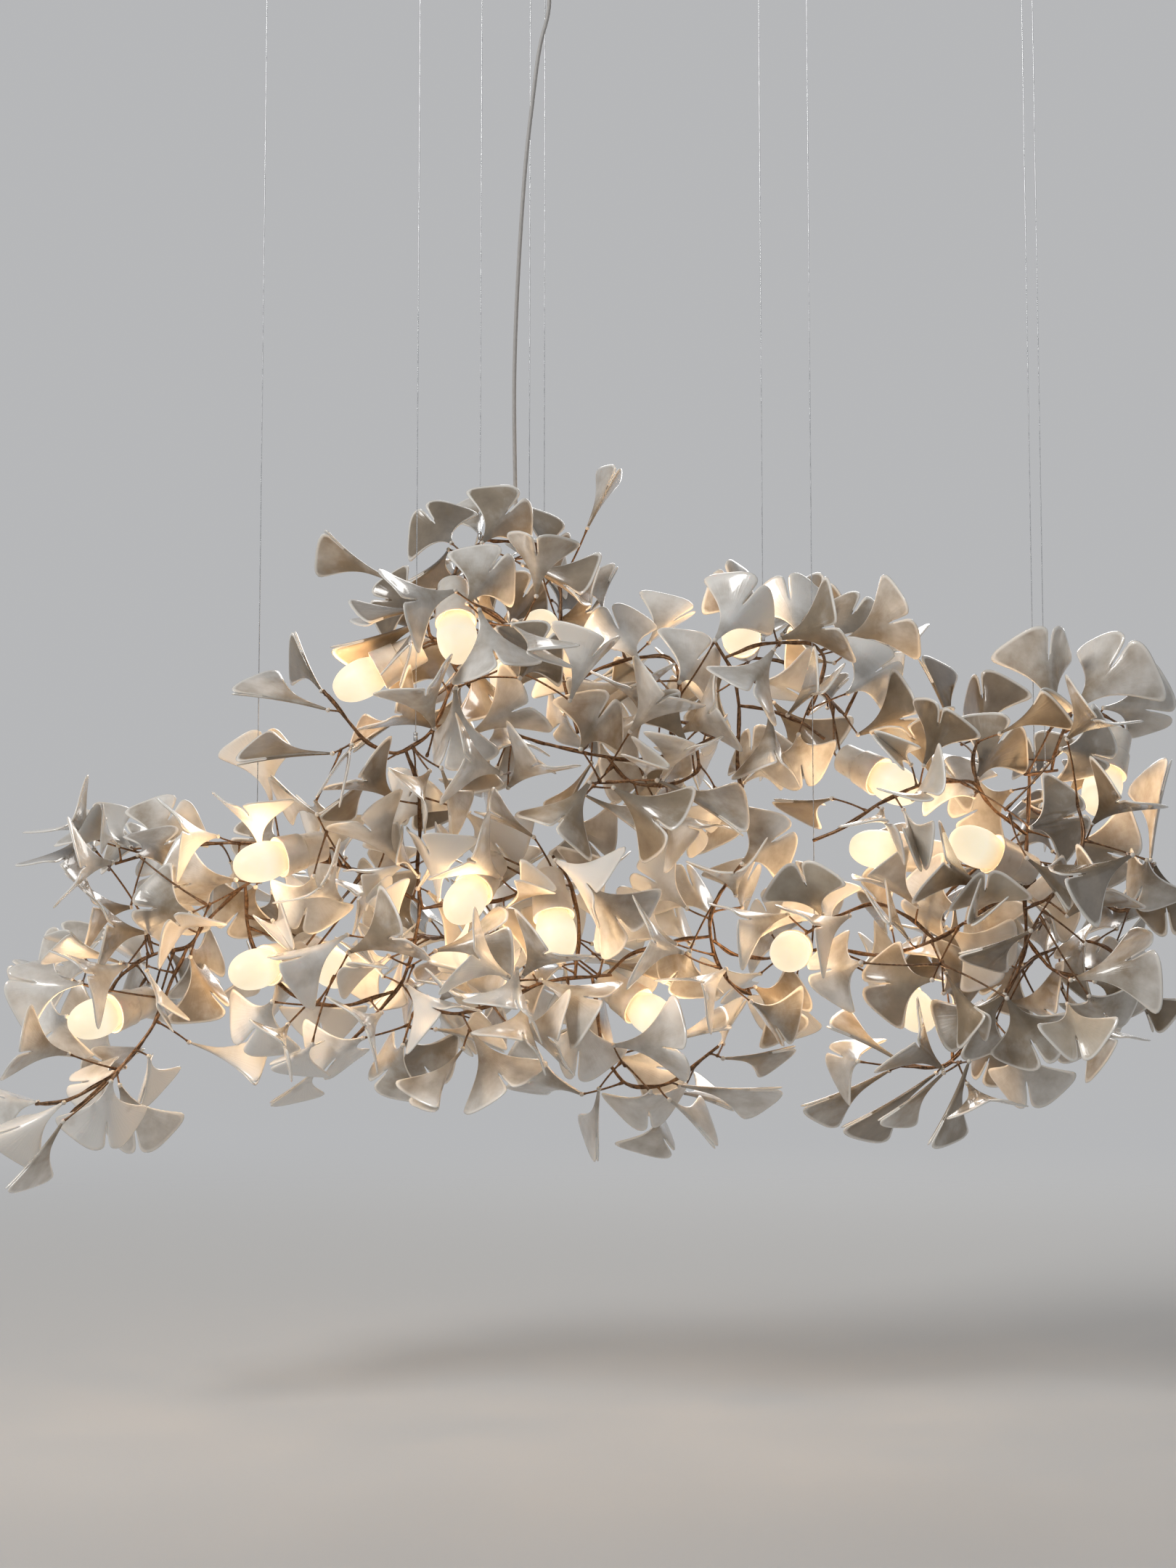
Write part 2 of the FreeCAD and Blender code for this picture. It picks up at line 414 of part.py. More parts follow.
# Leaves that fill the rest of each cluster, on twigs from its branches
fill_counts = {"crown": 10, "spine": 9, "arch": 6, "right": 18, "middle": 6,
               "lower_middle": 10, "lower_left": 10, "tail": 3}
fill_seed = 11
fill_tries_each = 90
fill_stand_off = 26.0
fill_stand_off_spread = 34.0
fill_narrow_share = 0.3
depth_steps_shares = (0.0, -0.05, 0.05, -0.10, 0.10, -0.16, 0.16, -0.22, 0.22, -0.30, 0.30, -0.40, 0.40)
pixel_nudges = [(0, 0), (14, 0), (-14, 0), (0, -14), (0, 14)]
twig_choices = 14
twig_lean_cosine_share = 0.94
twig_turn_back_share = -0.10
joint_sine_share = 0.34
carrying_share = 0.75


def unit(vector):
    """Returns the vector at length one."""
    return vector * (1.0 / vector.Length)


def vec(x, y, z):
    """Returns a FreeCAD vector."""
    return FreeCAD.Vector(x, y, z)


def lerp(start, end, share):
    """Returns the point at a share of the way from start to end."""
    return start + (end - start) * share


# Reference view

pitch = math.radians(view_pitch_degrees)
pixels_to_plane = view_distance / mm_per_pixel


def sight_line(u, v):
    """Returns the direction from the viewpoint through a pixel."""
    across = u - view_centre_pixel[0]
    up = view_centre_pixel[1] - v
    return vec(across,
               pixels_to_plane * math.cos(pitch) - up * math.sin(pitch),
               pixels_to_plane * math.sin(pitch) + up * math.cos(pitch))


canopy_line = sight_line(*canopy_pixel)
viewpoint = canopy_line * (-view_distance / canopy_line.y)


def place(u, v, depth_share):
    """Returns the point behind a pixel at a share of the half depth."""
    line = sight_line(u, v)
    return viewpoint + line * ((depth_share * spray_half_depth + view_distance) / line.y)


def place_far_end(base, u, v, length, lean):
    """Returns the point behind a pixel that lies one length from the base."""
    line = unit(sight_line(u, v))
    offset = base - viewpoint
    along = offset.dot(line)
    spare = length * length - (offset.dot(offset) - along * along)
    if spare > 0:
        along += lean * math.sqrt(spare)
    return viewpoint + line * along


# Solids with flat faces

def polyhedron(points, faces):
    """Makes a closed solid from points and lists of point numbers."""
    sides = []
    for face in faces:
        corners = [points[number] for number in face]
        sides.append(Part.Face(Part.makePolygon(corners + corners[:1])))
    solid = Part.makeSolid(Part.Shell(sides))
    if solid.Volume < 0:
        solid.reverse()
    return solid


def frame_across(axis):
    """Returns two directions square to an axis and to each other."""
    helper = vec(0, 0, 1) if abs(axis.z) < 0.9 else vec(1, 0, 0)
    first = unit(axis.cross(helper))
    return first, unit(axis.cross(first))


def ring_faces(sides, rings):
    """Returns the faces of a solid made of rings of equal point count, closed at both ends."""
    faces = [list(range(sides))]
    for ring in range(rings - 1):
        low = ring * sides
        high = low + sides
        for side in range(sides):
            after = (side + 1) % sides
            faces.append([low + side, low + after, high + after, high + side])
    faces.append([(rings - 1) * sides + side for side in range(sides)])
    return faces


def rod_ring(direction, diameter, sides):
    """Returns the corners of a rod's section, from its axis, at the rod's start."""
    first, second = frame_across(direction)
    angles = [2 * math.pi * side / sides for side in range(sides)]
    return [(first * math.cos(a) + second * math.sin(a)) * (diameter / 2) for a in angles]


def rod_rings(path, diameter, sides):
    """Returns the corners at each point of a rod's path, mitred at its bends."""
    directions = [unit(path[i + 1] - path[i]) for i in range(len(path) - 1)]
    rings = [[path[0] + corner for corner in rod_ring(directions[0], diameter, sides)]]
    for i, direction in enumerate(directions):
        last = i == len(directions) - 1
        normal = direction if last else unit(direction + directions[i + 1])
        rings.append([p + direction * ((path[i + 1] - p).dot(normal) / direction.dot(normal))
                      for p in rings[-1]])
    return rings


def rod_section(path, diameter, sides, index):
    """Returns the corners of a rod's square section, from its axis, in one straight piece."""
    direction = unit(path[index + 1] - path[index])
    corners = [p - path[index] for p in rod_rings(path, diameter, sides)[index]]
    return [corner - direction * corner.dot(direction) for corner in corners]


def rod_solid(path, diameter, sides):
    """Makes a rod of flat sides along a path, mitred at its corners."""
    points = [corner for ring in rod_rings(path, diameter, sides) for corner in ring]
    return polyhedron(points, ring_faces(sides, len(path)))


def turned_solid(origin, axis, profile, sides):
    """Makes a solid of flat sides round an axis from (distance along, radius) pairs."""
    first, second = frame_across(axis)
    points = []
    for along, radius in profile:
        for side in range(sides):
            angle = 2 * math.pi * (side + 0.5) / sides
            points.append(origin + axis * along
                          + (first * math.cos(angle) + second * math.sin(angle)) * radius)
    return polyhedron(points, ring_faces(sides, len(profile)))


def hollow_turned(profile, sides):
    """Makes a ring of flat sides round the upright axis from a closed (height, radius) profile."""
    points = []
    for height, radius in profile:
        for side in range(sides):
            angle = 2 * math.pi * (side + 0.5) / sides
            points.append(vec(radius * math.cos(angle), radius * math.sin(angle), height))
    faces = []
    for ring in range(len(profile)):
        low, high = ring * sides, (ring + 1) % len(profile) * sides
        for side in range(sides):
            after = (side + 1) % sides
            faces.append([low + side, low + after, high + after, high + side])
    return polyhedron(points, faces)


# Room: points of what is already there, to keep new pieces clear

class Room:
    """Holds sample points, each with a radius and the piece that it belongs to."""

    def __init__(self, cell):
        self.cell = cell
        self.cells = {}

    def add(self, points, radius, owner):
        """Adds the sample points of a piece."""
        for point in points:
            key = (int(point[0] // self.cell), int(point[1] // self.cell), int(point[2] // self.cell))
            self.cells.setdefault(key, []).append((point[0], point[1], point[2], radius, owner))

    def blocked(self, points, radius, ignored):
        """Says whether any point comes too near to a piece that isn't ignored."""
        for x, y, z in points:
            i, j, k = int(x // self.cell), int(y // self.cell), int(z // self.cell)
            for key in ((a, b, c) for a in (i - 1, i, i + 1) for b in (j - 1, j, j + 1)
                        for c in (k - 1, k, k + 1)):
                for other in self.cells.get(key, ()):
                    reach = radius + other[3]
                    gap = (x - other[0]) ** 2 + (y - other[1]) ** 2 + (z - other[2]) ** 2
                    if gap < reach * reach and other[4] not in ignored:
                        return True
        return False


def samples_along(start, end, spacing):
    """Returns evenly spaced points from start to end."""
    count = max(1, math.ceil((end - start).Length / spacing))
    return [tuple(lerp(start, end, i / count)) for i in range(count + 1)]


def nearest_on_segment(point, start, end):
    """Returns the share along a segment that lies nearest to a point."""
    span = end - start
    return min(1.0, max(0.0, (point - start).dot(span) / span.dot(span)))


def clear_of_lamps(points, margin):
    """Says whether the points stay clear of every lamp and its bulb's travel."""
    for x, y, z in points:
        for start, span, length_squared, radius in lamp_spaces:
            dx, dy, dz = x - start[0], y - start[1], z - start[2]
            share = (dx * span[0] + dy * span[1] + dz * span[2]) / length_squared
            share = min(1.0, max(0.0, share))
            dx -= share * span[0]
            dy -= share * span[1]
            dz -= share * span[2]
            if dx * dx + dy * dy + dz * dz < (radius + margin) ** 2:
                return False
    return True


leaf_reach = leaf_clearance / 2
rod_reach = rod_diameter / 2 + metal_clearance
twig_reach_radius = twig_diameter / 2 + metal_clearance / 2
wire_reach = wire_diameter / 2 + metal_clearance
metal_spacing = leaf_clearance / 2
room = Room(leaf_clearance)
lamp_spaces = []
metal_points = []


# Branches

class Carrier:
    """A straight piece of branch or twig that can carry a twig, a stem or a ferrule."""

    def __init__(self, start, end, section, owner, cluster):
        self.start = start
        self.end = end
        self.direction = unit(end - start)
        self.radius = section[0].Length
        self.owner = owner
        self.cluster = cluster
        self.sides = []
        for corner, after in zip(section, section[1:] + section[:1]):
            outward = unit(corner + after)
            self.sides.append((outward, outward.dot(corner)))

    def gap(self, point):
        """Returns how far a point stands off the piece's nearest flat side or end."""
        offset = point - self.start
        along = offset.dot(self.direction)
        beyond = max(-along, along - (self.end - self.start).Length)
        return max(beyond, max(offset.dot(normal) - reach for normal, reach in self.sides))


carriers = []


def nearest_carrier(point):
    """Returns the nearest carrier and the point on its axis."""
    best = None
    for carrier in carriers:
        share = nearest_on_segment(point, carrier.start, carrier.end)
        seat = lerp(carrier.start, carrier.end, share)
        gap = (seat - point).Length
        if best is None or gap < best[0]:
            best = (gap, carrier, seat)
    return best[1], best[2]


def start_offset(direction, carrier, radius):
    """Returns how far from a carrier's axis a rod's flat end starts, to clear it by the gap."""
    cosine = abs(direction.dot(carrier.direction))
    sine = max(joint_sine_share, math.sqrt(max(0, 1 - cosine * cosine)))
    return (carrier.radius + braze_gap + radius * cosine) / sine


def clear_start(seat, direction, section, owner):
    """Returns where a rod that starts at a seat has to begin, to clear its carrier by the gap."""
    pieces = [carrier for carrier in carriers if carrier.owner == owner
              and (lerp(carrier.start, carrier.end, nearest_on_segment(seat, carrier.start, carrier.end))
                   - seat).Length < seat_reach]
    middles = [(corner + after) / 2 for corner, after in zip(section, section[1:] + section[:1])]
    rim = section + middles + [vec(0, 0, 0)]
    stations = [direction * (seat_reach * i / seat_stations) for i in range(seat_stations + 1)]
    offset = 0.0
    while offset < seat_reach:
        start = seat + direction * offset
        gap = min(piece.gap(start + point + station) for piece in pieces for point in rim
                  for station in stations)
        if gap >= braze_gap:
            break
        offset += max(seat_step, (braze_gap - gap) / 2)
    return seat + direction * offset


def seat_end(path, index):
    """Moves one end of a path onto the nearest carrier, just clear of its surface."""
    carrier, seat = nearest_carrier(path[index])
    path[index] = seat
    if index == 0:
        section = rod_section(path, rod_diameter, rod_sides, 0)
        path[0] = clear_start(seat, unit(path[1] - seat), section, carrier.owner)
    else:
        section = rod_section(path, rod_diameter, rod_sides, len(path) - 2)
        path[-1] = clear_start(seat, unit(path[-2] - seat), section, carrier.owner)
    return carrier.owner


def build_branches():
    """Places every branch, adds it to the room and returns the solids by cluster."""
    solids = {}
    for name, cluster, joined_start, joined_end, pixels in branches:
        path = [place(*pixel) for pixel in pixels]
        joined = {name}
        if joined_start:
            joined.add(seat_end(path, 0))
        if joined_end:
            joined.add(seat_end(path, -1))
        points = []
        for start, end in zip(path, path[1:]):
            points += samples_along(start, end, metal_spacing)
        if room.blocked(points, rod_reach, joined):
            print("branch too near to another:", name)
        for index in range(len(path) - 1):
            section = rod_section(path, rod_diameter, rod_sides, index)
            carriers.append(Carrier(path[index], path[index + 1], section, name, cluster))
        room.add(points, rod_reach, name)
        metal_points.extend(point + (rod_diameter / 2,) for point in points)
        solids.setdefault(cluster, []).append(rod_solid(path, rod_diameter, rod_sides))
    return solids


# Suspension

def prism_down(top, diameter, length):
    """Makes a short upright fitting with its top face at the point."""
    profile = [(0, diameter / 2), (length, diameter / 2)]
    return turned_solid(top, vec(0, 0, -1), profile, fitting_sides)


def rise_above(carrier, radius):
    """Returns how far above a sloping carrier's axis a flat round foot stands clear of it."""
    level = math.hypot(carrier.direction.x, carrier.direction.y)
    slope = abs(carrier.direction.z) / level
    return (carrier.radius + braze_gap) / level + slope * radius


def build_wires():
    """Places the wires, their ferrules, grippers and ceiling anchors."""
    wire_solids, ferrules, grippers, anchors = [], [], [], []
    for number, pixel in enumerate(wires):
        carrier, seat = nearest_carrier(place(*pixel))
        bottom = seat + vec(0, 0, rise_above(carrier, ferrule_diameter / 2))
        ferrule_top = bottom + vec(0, 0, ferrule_length)
        owner = "wire" + str(number)
        ceiling = vec(seat.x, seat.y, 0)
        anchors.append(prism_down(ceiling, anchor_diameter, anchor_length))
        gripper_top = ceiling - vec(0, 0, anchor_length)
        nose = [(0, gripper_diameter / 2), (gripper_length - gripper_diameter, gripper_diameter / 2),
                (gripper_length, gripper_nose_diameter / 2)]
        grippers.append(turned_solid(gripper_top, vec(0, 0, -1), nose, fitting_sides))
        wire_top = gripper_top - vec(0, 0, gripper_length)
        wire_solids.append(rod_solid([wire_top, ferrule_top], wire_diameter, wire_sides))
        ferrules.append(prism_down(ferrule_top, ferrule_diameter, ferrule_length))
        line = samples_along(wire_top, ferrule_top, metal_spacing)
        sleeve = samples_along(ferrule_top, bottom, metal_spacing)
        room.add(line, wire_reach, owner)
        room.add(sleeve, ferrule_diameter / 2 + metal_clearance, owner)
        metal_points.extend(point + (ferrule_diameter / 2,) for point in line + sleeve)
    return wire_solids, ferrules, grippers, anchors


# Lamps

def lamp_profiles():
    """Returns the profiles of the cup, the bulb and the insert from the cup's mouth outwards."""
    throat = bulb_cap_diameter / 2 + cap_clearance
    bore_end = -(cup_length - cup_back_wall)
    cup = [(-cup_length, cup_back_diameter / 2), (-cup_step_depth, cup_waist_diameter / 2),
           (-cup_step_depth, cup_step_diameter / 2), (0, cup_mouth_diameter / 2),
           (0, cup_mouth_diameter / 2 - cup_wall), (-cup_throat_depth, throat), (bore_end, throat)]
    low, high = bulb_crown_shares
    bulb = [(-cup_throat_depth - bulb_cap_length, bulb_cap_diameter / 2),
            (-cup_throat_depth, bulb_cap_diameter / 2), (0, bulb_mouth_diameter / 2),
            (bulb_glass_length * low, bulb_diameter / 2),
            (bulb_glass_length * high, bulb_diameter / 2 * bulb_shoulder_share),
            (bulb_glass_length, bulb_tip_diameter / 2)]
    insert_start = bore_end + insert_back_gap
    insert_end = -cup_throat_depth - bulb_cap_length - bulb_seat_gap
    insert = [(insert_start, insert_diameter / 2), (insert_end, insert_diameter / 2)]
    return cup, bulb, insert


def capsule_gap(point, capsule):
    """Returns the distance of a point from a capsule's surface, negative inside."""
    start, span, length_squared, radius = capsule
    dx, dy, dz = point[0] - start[0], point[1] - start[1], point[2] - start[2]
    share = (dx * span[0] + dy * span[1] + dz * span[2]) / length_squared
    share = min(1.0, max(0.0, share))
    return math.dist((dx, dy, dz), [share * part for part in span]) - radius


def lamp_capsules(mouth, axis):
    """Returns the two capsules that a lamp fills: its cup, and its bulb with its travel."""
    cup_radius = cup_mouth_diameter / 2
    bulb_radius = bulb_diameter / 2 + lamp_clearance / 2
    ends = [(mouth - axis * (cup_length - cup_back_diameter / 2), mouth - axis * cup_radius, cup_radius),
            (mouth, mouth + axis * (bulb_glass_length + bulb_travel - bulb_radius), bulb_radius)]
    capsules = []
    for start, end, radius in ends:
        span = end - start
        capsules.append((tuple(start), tuple(span), span.dot(span), radius))
    return capsules


def capsule_samples(capsule):
    """Returns points along a capsule's axis."""
    start = vec(*capsule[0])
    return samples_along(start, start + vec(*capsule[1]), metal_spacing)


def lamp_has_room(capsules):
    """Says whether a lamp stays clear of the branches, wires, cord and other lamps."""
    for capsule in capsules:
        if any(capsule_gap(point, capsule) < metal_clearance + point[3] for point in metal_points):
            return False
        for other in lamp_spaces:
            reach = capsule[3] + lamp_clearance
            if any(capsule_gap(point, other) < reach for point in capsule_samples(capsule)):
                return False
    return True


def stem_paths(mouth, axis, carrier, seat):
    """Returns the paths of a lamp's two stems from a carrier to the back of the cup."""
    back = mouth - axis * cup_length
    across = carrier.direction - axis * carrier.direction.dot(axis)
    if across.Length < joint_sine_share:
        return None
    across = unit(across)
    paths = []
    for sign in (1, -1):
        start = back + across * (sign * stem_spacing / 2) - axis * braze_gap
        bend = start - axis * stem_straight
        foot = seat + carrier.direction * (sign * stem_spacing / 2)
        direction = unit(bend - foot)
        end = foot + direction * start_offset(direction, carrier, stem_diameter / 2)
        paths.append(([end, bend, start], foot, carrier.owner))
    return paths


def in_line(path, carrier):
    """Says whether a path leaves its carrier almost along it."""
    return abs(unit(path[1] - path[0]).dot(carrier.direction)) > twig_lean_cosine_share


def find_stems(mouth, axis, own):
    """Returns the shortest clear pair of stems for a lamp, or nothing."""
    back = mouth - axis * (cup_length + stem_straight)
    choices = []
    for carrier in carriers:
        spare = (carrier.end - carrier.start).Length - 2 * stem_margin
        if spare < 0:
            continue
        count = max(1, round(spare / stem_spacing))
        for i in range(count + 1):
            seat = carrier.start + carrier.direction * (stem_margin + spare * i / count)
            reach = (seat - back).Length
            if reach > stem_reach or reach < stem_spacing:
                continue
            behind = -axis.dot(unit(seat - back))
            choices.append((reach * (1.6 - behind), carrier, seat))
    choices.sort(key=lambda choice: choice[0])
    others = [capsule for capsule in lamp_spaces if capsule not in own]
    for _, carrier, seat in choices:
        paths = stem_paths(mouth, axis, carrier, seat)
        if paths is None or any(in_line(path, carrier) for path, _, _ in paths):
            continue
        halves = [samples_along(path[0], path[1], metal_spacing) for path, _, _ in paths]
        if min(math.dist(a, b) for a in halves[0] for b in halves[1]) < stem_spacing / 2:
            continue
        slanted = halves[0] + halves[1]
        straight = [p for path, _, _ in paths for p in samples_along(path[1], path[2], metal_spacing)]
        if any(capsule_gap(point, own[0]) < metal_clearance for point in slanted):
            continue
        if any(capsule_gap(point, other) < stem_diameter for point in slanted for other in others):
            continue
        if not room.blocked(slanted + straight, stem_diameter / 2, {carrier.owner}):
            return paths, slanted + straight
    return None


def build_lamps():
    """Places the lamps and the two stems that carry each of them."""
    cup_profile, bulb_profile, insert_profile = lamp_profiles()
    cups, inserts, bulbs, stems = [], [], [], []
    settings = []
    for number, (mouth_u, mouth_v, tip_u, tip_v, depth_share, lean) in enumerate(lamps):
        for shift in depth_steps_shares:
            mouth = place(mouth_u, mouth_v, depth_share + shift)
            axis = unit(place_far_end(mouth, tip_u, tip_v, bulb_glass_length, lean) - mouth)
            capsules = lamp_capsules(mouth, axis)
            if lamp_has_room(capsules):
                break
        else:
            print("lamp without room:", number + 1)
        settings.append((mouth, axis, capsules))
        lamp_spaces.extend(capsules)
        cups.append(turned_solid(mouth, axis, cup_profile, lamp_sides))
        bulbs.append(turned_solid(mouth, axis, bulb_profile, lamp_sides))
        inserts.append(turned_solid(mouth, axis, insert_profile, fitting_sides))
    for number, (mouth, axis, capsules) in enumerate(settings):
        found = find_stems(mouth, axis, capsules)
        if found is None:
            print("lamp without stems:", number + 1)
            continue
        for path, foot, owner in found[0]:
            path[0] = foot
            section = rod_section(path, stem_diameter, stem_sides, 0)
            path[0] = clear_start(foot, unit(path[1] - foot), section, owner)
            stems.append(rod_solid(path, stem_diameter, stem_sides))
        room.add(found[1], stem_diameter / 2 + metal_clearance, "stem" + str(number))
    return cups, inserts, bulbs, stems, settings


# Leaves

def leaf_points(base, length, across, along, facing, fold):
    """Returns the ten outline points, the two centre points and the centre's middle."""
    half = [(x, y) for x, y in leaf_half_outline_shares]
    outline = [(0.0, 0.0)] + half + [(0.0, leaf_slit_share)] + [(-x, y) for x, y in reversed(half)]
    bend = math.radians(fold)

    def bent(x, y):
        """Bends one flat point of the leaf at the midrib and along its length."""
        rise = -abs(x) * math.sin(bend) - leaf_arch_share * 4 * y * (1 - y)
        return base + (across * (x * math.cos(bend)) + along * y + facing * rise) * length

    points = [bent(x, y) for x, y in outline]
    centre = bent(0.0, leaf_centre_share)
    half_thickness = leaf_thickness / 2 / max(0.5, math.cos(bend))
    return points, centre + facing * half_thickness, centre - facing * half_thickness, centre


def leaf_samples(points, centre):
    """Returns points spread over a leaf's middle surface."""
    samples = []
    for i in range(len(points)):
        a, b = points[i], points[(i + 1) % len(points)]
        longest = max((b - a).Length, (centre - a).Length, (centre - b).Length)
        count = max(1, math.ceil(longest / leaf_sample_spacing))
        for row in range(count + 1):
            for column in range(count + 1 - row):
                share_a, share_b = row / count, column / count
                samples.append(tuple(a * share_a + b * share_b + centre * (1 - share_a - share_b)))
    return samples


def leaf_solid(points, front, back):
    """Makes a thin leaf that is thickest at its centre."""
    count = len(points)
    faces = []
    for i in range(count):
        after = (i + 1) % count
        faces.append([i, after, count])
        faces.append([after, i, count + 1])
    return polyhedron(points + [front, back], faces)


def find_twig(base, along):
    """Returns the clear twig that carries a leaf best, or nothing."""
    choices = []
    for carrier in carriers:
        length = (carrier.end - carrier.start).Length
        count = max(1, int(length / (2 * twig_start_step)))
        near = nearest_on_segment(base, carrier.start, carrier.end)
        if (lerp(carrier.start, carrier.end, near) - base).Length > twig_reach:
            continue
        for i in range(count + 1):
            seat = lerp(carrier.start, carrier.end, (i + 0.5) / (count + 1))
            gap = base - seat
            reach = gap.Length
            if reach > twig_reach or reach < 3 * twig_start_step:
                continue
            direction = unit(gap)
            if abs(direction.dot(carrier.direction)) > twig_lean_cosine_share:
                continue
            bend = direction.dot(along)
            if bend < twig_turn_back_share:
                continue
            choices.append((reach * (1.7 - bend), reach, carrier, seat, direction))
    choices.sort(key=lambda choice: choice[0])
    for _, reach, carrier, seat, direction in choices[:twig_choices]:
        start = seat + direction * start_offset(direction, carrier, twig_diameter / 2)
        bend = direction.dot(along)
        end = base - direction * (braze_gap * (1 + math.sqrt(1 - bend * bend)))
        points = samples_along(start, end, metal_spacing)
        if room.blocked(points, twig_reach_radius, {carrier.owner}):
            continue
        if clear_of_lamps(points, twig_diameter / 2):
            section = rod_ring(direction, twig_diameter, twig_sides)
            return clear_start(seat, direction, section, carrier.owner), end, carrier, points
    return None


leaf_total = 0


def try_leaf(cluster, base, along, length, turn, fold):
    """Places one leaf and its twig if both are clear, and returns the two solids."""
    global leaf_total
    sight = unit(base - viewpoint)
    toward = -sight + along * sight.dot(along)
    toward = unit(toward) if toward.Length > 0.05 else frame_across(along)[0]
    side = along.cross(toward)
    angle = math.radians(turn)
    facing = toward * math.cos(angle) + side * math.sin(angle)
    across = along.cross(facing)
    points, front, back, centre = leaf_points(base, length, across, along, facing, fold)
    samples = leaf_samples(points, centre)
    if room.blocked(samples, leaf_reach, ()) or not clear_of_lamps(samples, lamp_clearance / 2):
        return None
    owner = "twig" + str(leaf_total)
    twig = find_twig(base, along)
    if twig is None:
        return None
    start, end, carrier, twig_points = twig
    own_leaf = Room(leaf_clearance)
    own_leaf.add([p for p in samples if (vec(*p) - base).Length > leaf_clearance], leaf_reach, "leaf")
    if own_leaf.blocked(twig_points, twig_diameter / 2, ()):
        return None
    leaf_total += 1
    room.add(samples, leaf_reach, "leaf")
    room.add(twig_points, twig_reach_radius, owner)
    if carrier.radius > twig_diameter / 2:
        middle = lerp(start, end, carrying_share)
        section = rod_ring(unit(end - start), twig_diameter, twig_sides)
        carriers.append(Carrier(start, middle, section, owner, carrier.cluster))
    return leaf_solid(points, front, back), rod_solid([start, end], twig_diameter, twig_sides)


def build_leaves():
    """Places the leaves of the view and then the ones that fill each cluster."""
    leaves = {cluster: [] for cluster in placed_leaves}
    twigs = {cluster: [] for cluster in placed_leaves}
    low, high = leaf_size_limits_shares
    missed = []
    for cluster, rows in placed_leaves.items():
        for row, (u, v, tip_u, tip_v, depth_share, lean, turn, fold) in enumerate(rows):
            made = None
            for (nudge_u, nudge_v), shift, sign in product(pixel_nudges, depth_steps_shares, (1, -1)):
                base = place(u + nudge_u, v + nudge_v, depth_share + shift)
                aim = place(tip_u + nudge_u, tip_v + nudge_v, depth_share + shift)
                length = min(max(leaf_length, (aim - base).Length), leaf_length * high)
                tip = place_far_end(base, tip_u + nudge_u, tip_v + nudge_v, length, lean)
                made = try_leaf(cluster, base, unit(tip - base), length, sign * turn, fold)
                if made:
                    break
            if made is None:
                missed.append((cluster, row))
                continue
            leaves[cluster].append(made[0])
            twigs[cluster].append(made[1])
    print("leaves of the view that found no room:", missed)
    draw = random.Random(fill_seed)
    for cluster, wanted in fill_counts.items():
        rods = [c for c in carriers if c.cluster == cluster and c.radius > twig_diameter / 2]
        added = 0
        for _ in range(wanted * fill_tries_each):
            if added == wanted:
                break
            rod = draw.choice(rods)
            seat = lerp(rod.start, rod.end, draw.random())
            first, second = frame_across(rod.direction)
            angle = draw.uniform(0, 2 * math.pi)
            outward = first * math.cos(angle) + second * math.sin(angle)
            outward = unit(outward + rod.direction * draw.uniform(-0.6, 0.6))
            base = seat + outward * (fill_stand_off + draw.random() * fill_stand_off_spread)
            wander = vec(draw.uniform(-1, 1), draw.uniform(-1, 1), draw.uniform(-1, 1))
            along = unit(outward + wander * 0.6)
            length = leaf_length * draw.uniform(low, 1.08)
            turn = draw.uniform(-60, 60)
            fold = draw.uniform(72, 78) if draw.random() < fill_narrow_share else draw.uniform(15, 35)
            made = try_leaf(cluster, base, along, length, turn, fold)
            if made:
                leaves[cluster].append(made[0])
                twigs[cluster].append(made[1])
                added += 1
    return leaves, twigs


# Power cord and canopy

def cylinder(base, height, diameter):
    """Makes an upright cylinder from the middle of its lower face."""
    return Part.makeCylinder(diameter / 2, height, base)


def cord_points():
    """Returns the cord's route from the grip to its sleeve, and the sleeve's lower end."""
    top = vec(0, 0, -bracket_thickness - grip_length)
    route = [top, top - vec(0, 0, cord_straight_length)] + [place(*pixel) for pixel in cord_route]
    carrier, seat = nearest_carrier(place(*cord_end_pixel))
    bottom = seat + vec(0, 0, rise_above(carrier, sleeve_diameter / 2))
    return route + [bottom - unit(bottom - route[-1]) * sleeve_length], bottom


def build_cord():
    """Makes the cord as straight runs joined by arcs, and prints its length and radii."""
    route, bottom = cord_points()
    edges, radii = [], []
    start = route[0]
    for before, corner, after in zip(route, route[1:], route[2:]):
        into, out = unit(corner - before), unit(after - corner)
        turn = into.getAngle(out)
        trim = cord_bend_share * min((corner - before).Length, (after - corner).Length)
        arc_start, arc_end = corner - into * trim, corner + out * trim
        radius = trim / math.tan(turn / 2)
        inward = unit(out - into)
        middle = corner + inward * (radius / math.cos(turn / 2) - radius)
        edges.append(Part.LineSegment(start, arc_start).toShape())
        edges.append(Part.Arc(arc_start, middle, arc_end).toShape())
        radii.append(radius)
        start = arc_end
    edges.append(Part.LineSegment(start, route[-1]).toShape())
    path = Part.Wire(edges)
    section = Part.Wire(Part.makeCircle(cord_diameter / 2, route[0], route[1] - route[0]))
    solid = path.makePipeShell([section], True, False)
    ideal = math.pi * cord_diameter ** 2 / 4 * path.Length
    print("cord length", round(path.Length), "radii", [round(r) for r in radii],
          "volume share", round(solid.Volume / ideal, 4))
    points = [tuple(point) for point in path.discretize(Distance=metal_spacing)]
    room.add(points, cord_diameter / 2 + metal_clearance, "cord")
    metal_points.extend(point + (cord_diameter / 2,) for point in points)
    lower = samples_along(route[-1], bottom, metal_spacing)
    room.add(lower, sleeve_diameter / 2 + metal_clearance, "cord")
    sleeve = turned_solid(route[-1], unit(bottom - route[-1]),
                          [(0, sleeve_diameter / 2), (sleeve_length, sleeve_diameter / 2)],
                          fitting_sides)
    return solid, sleeve


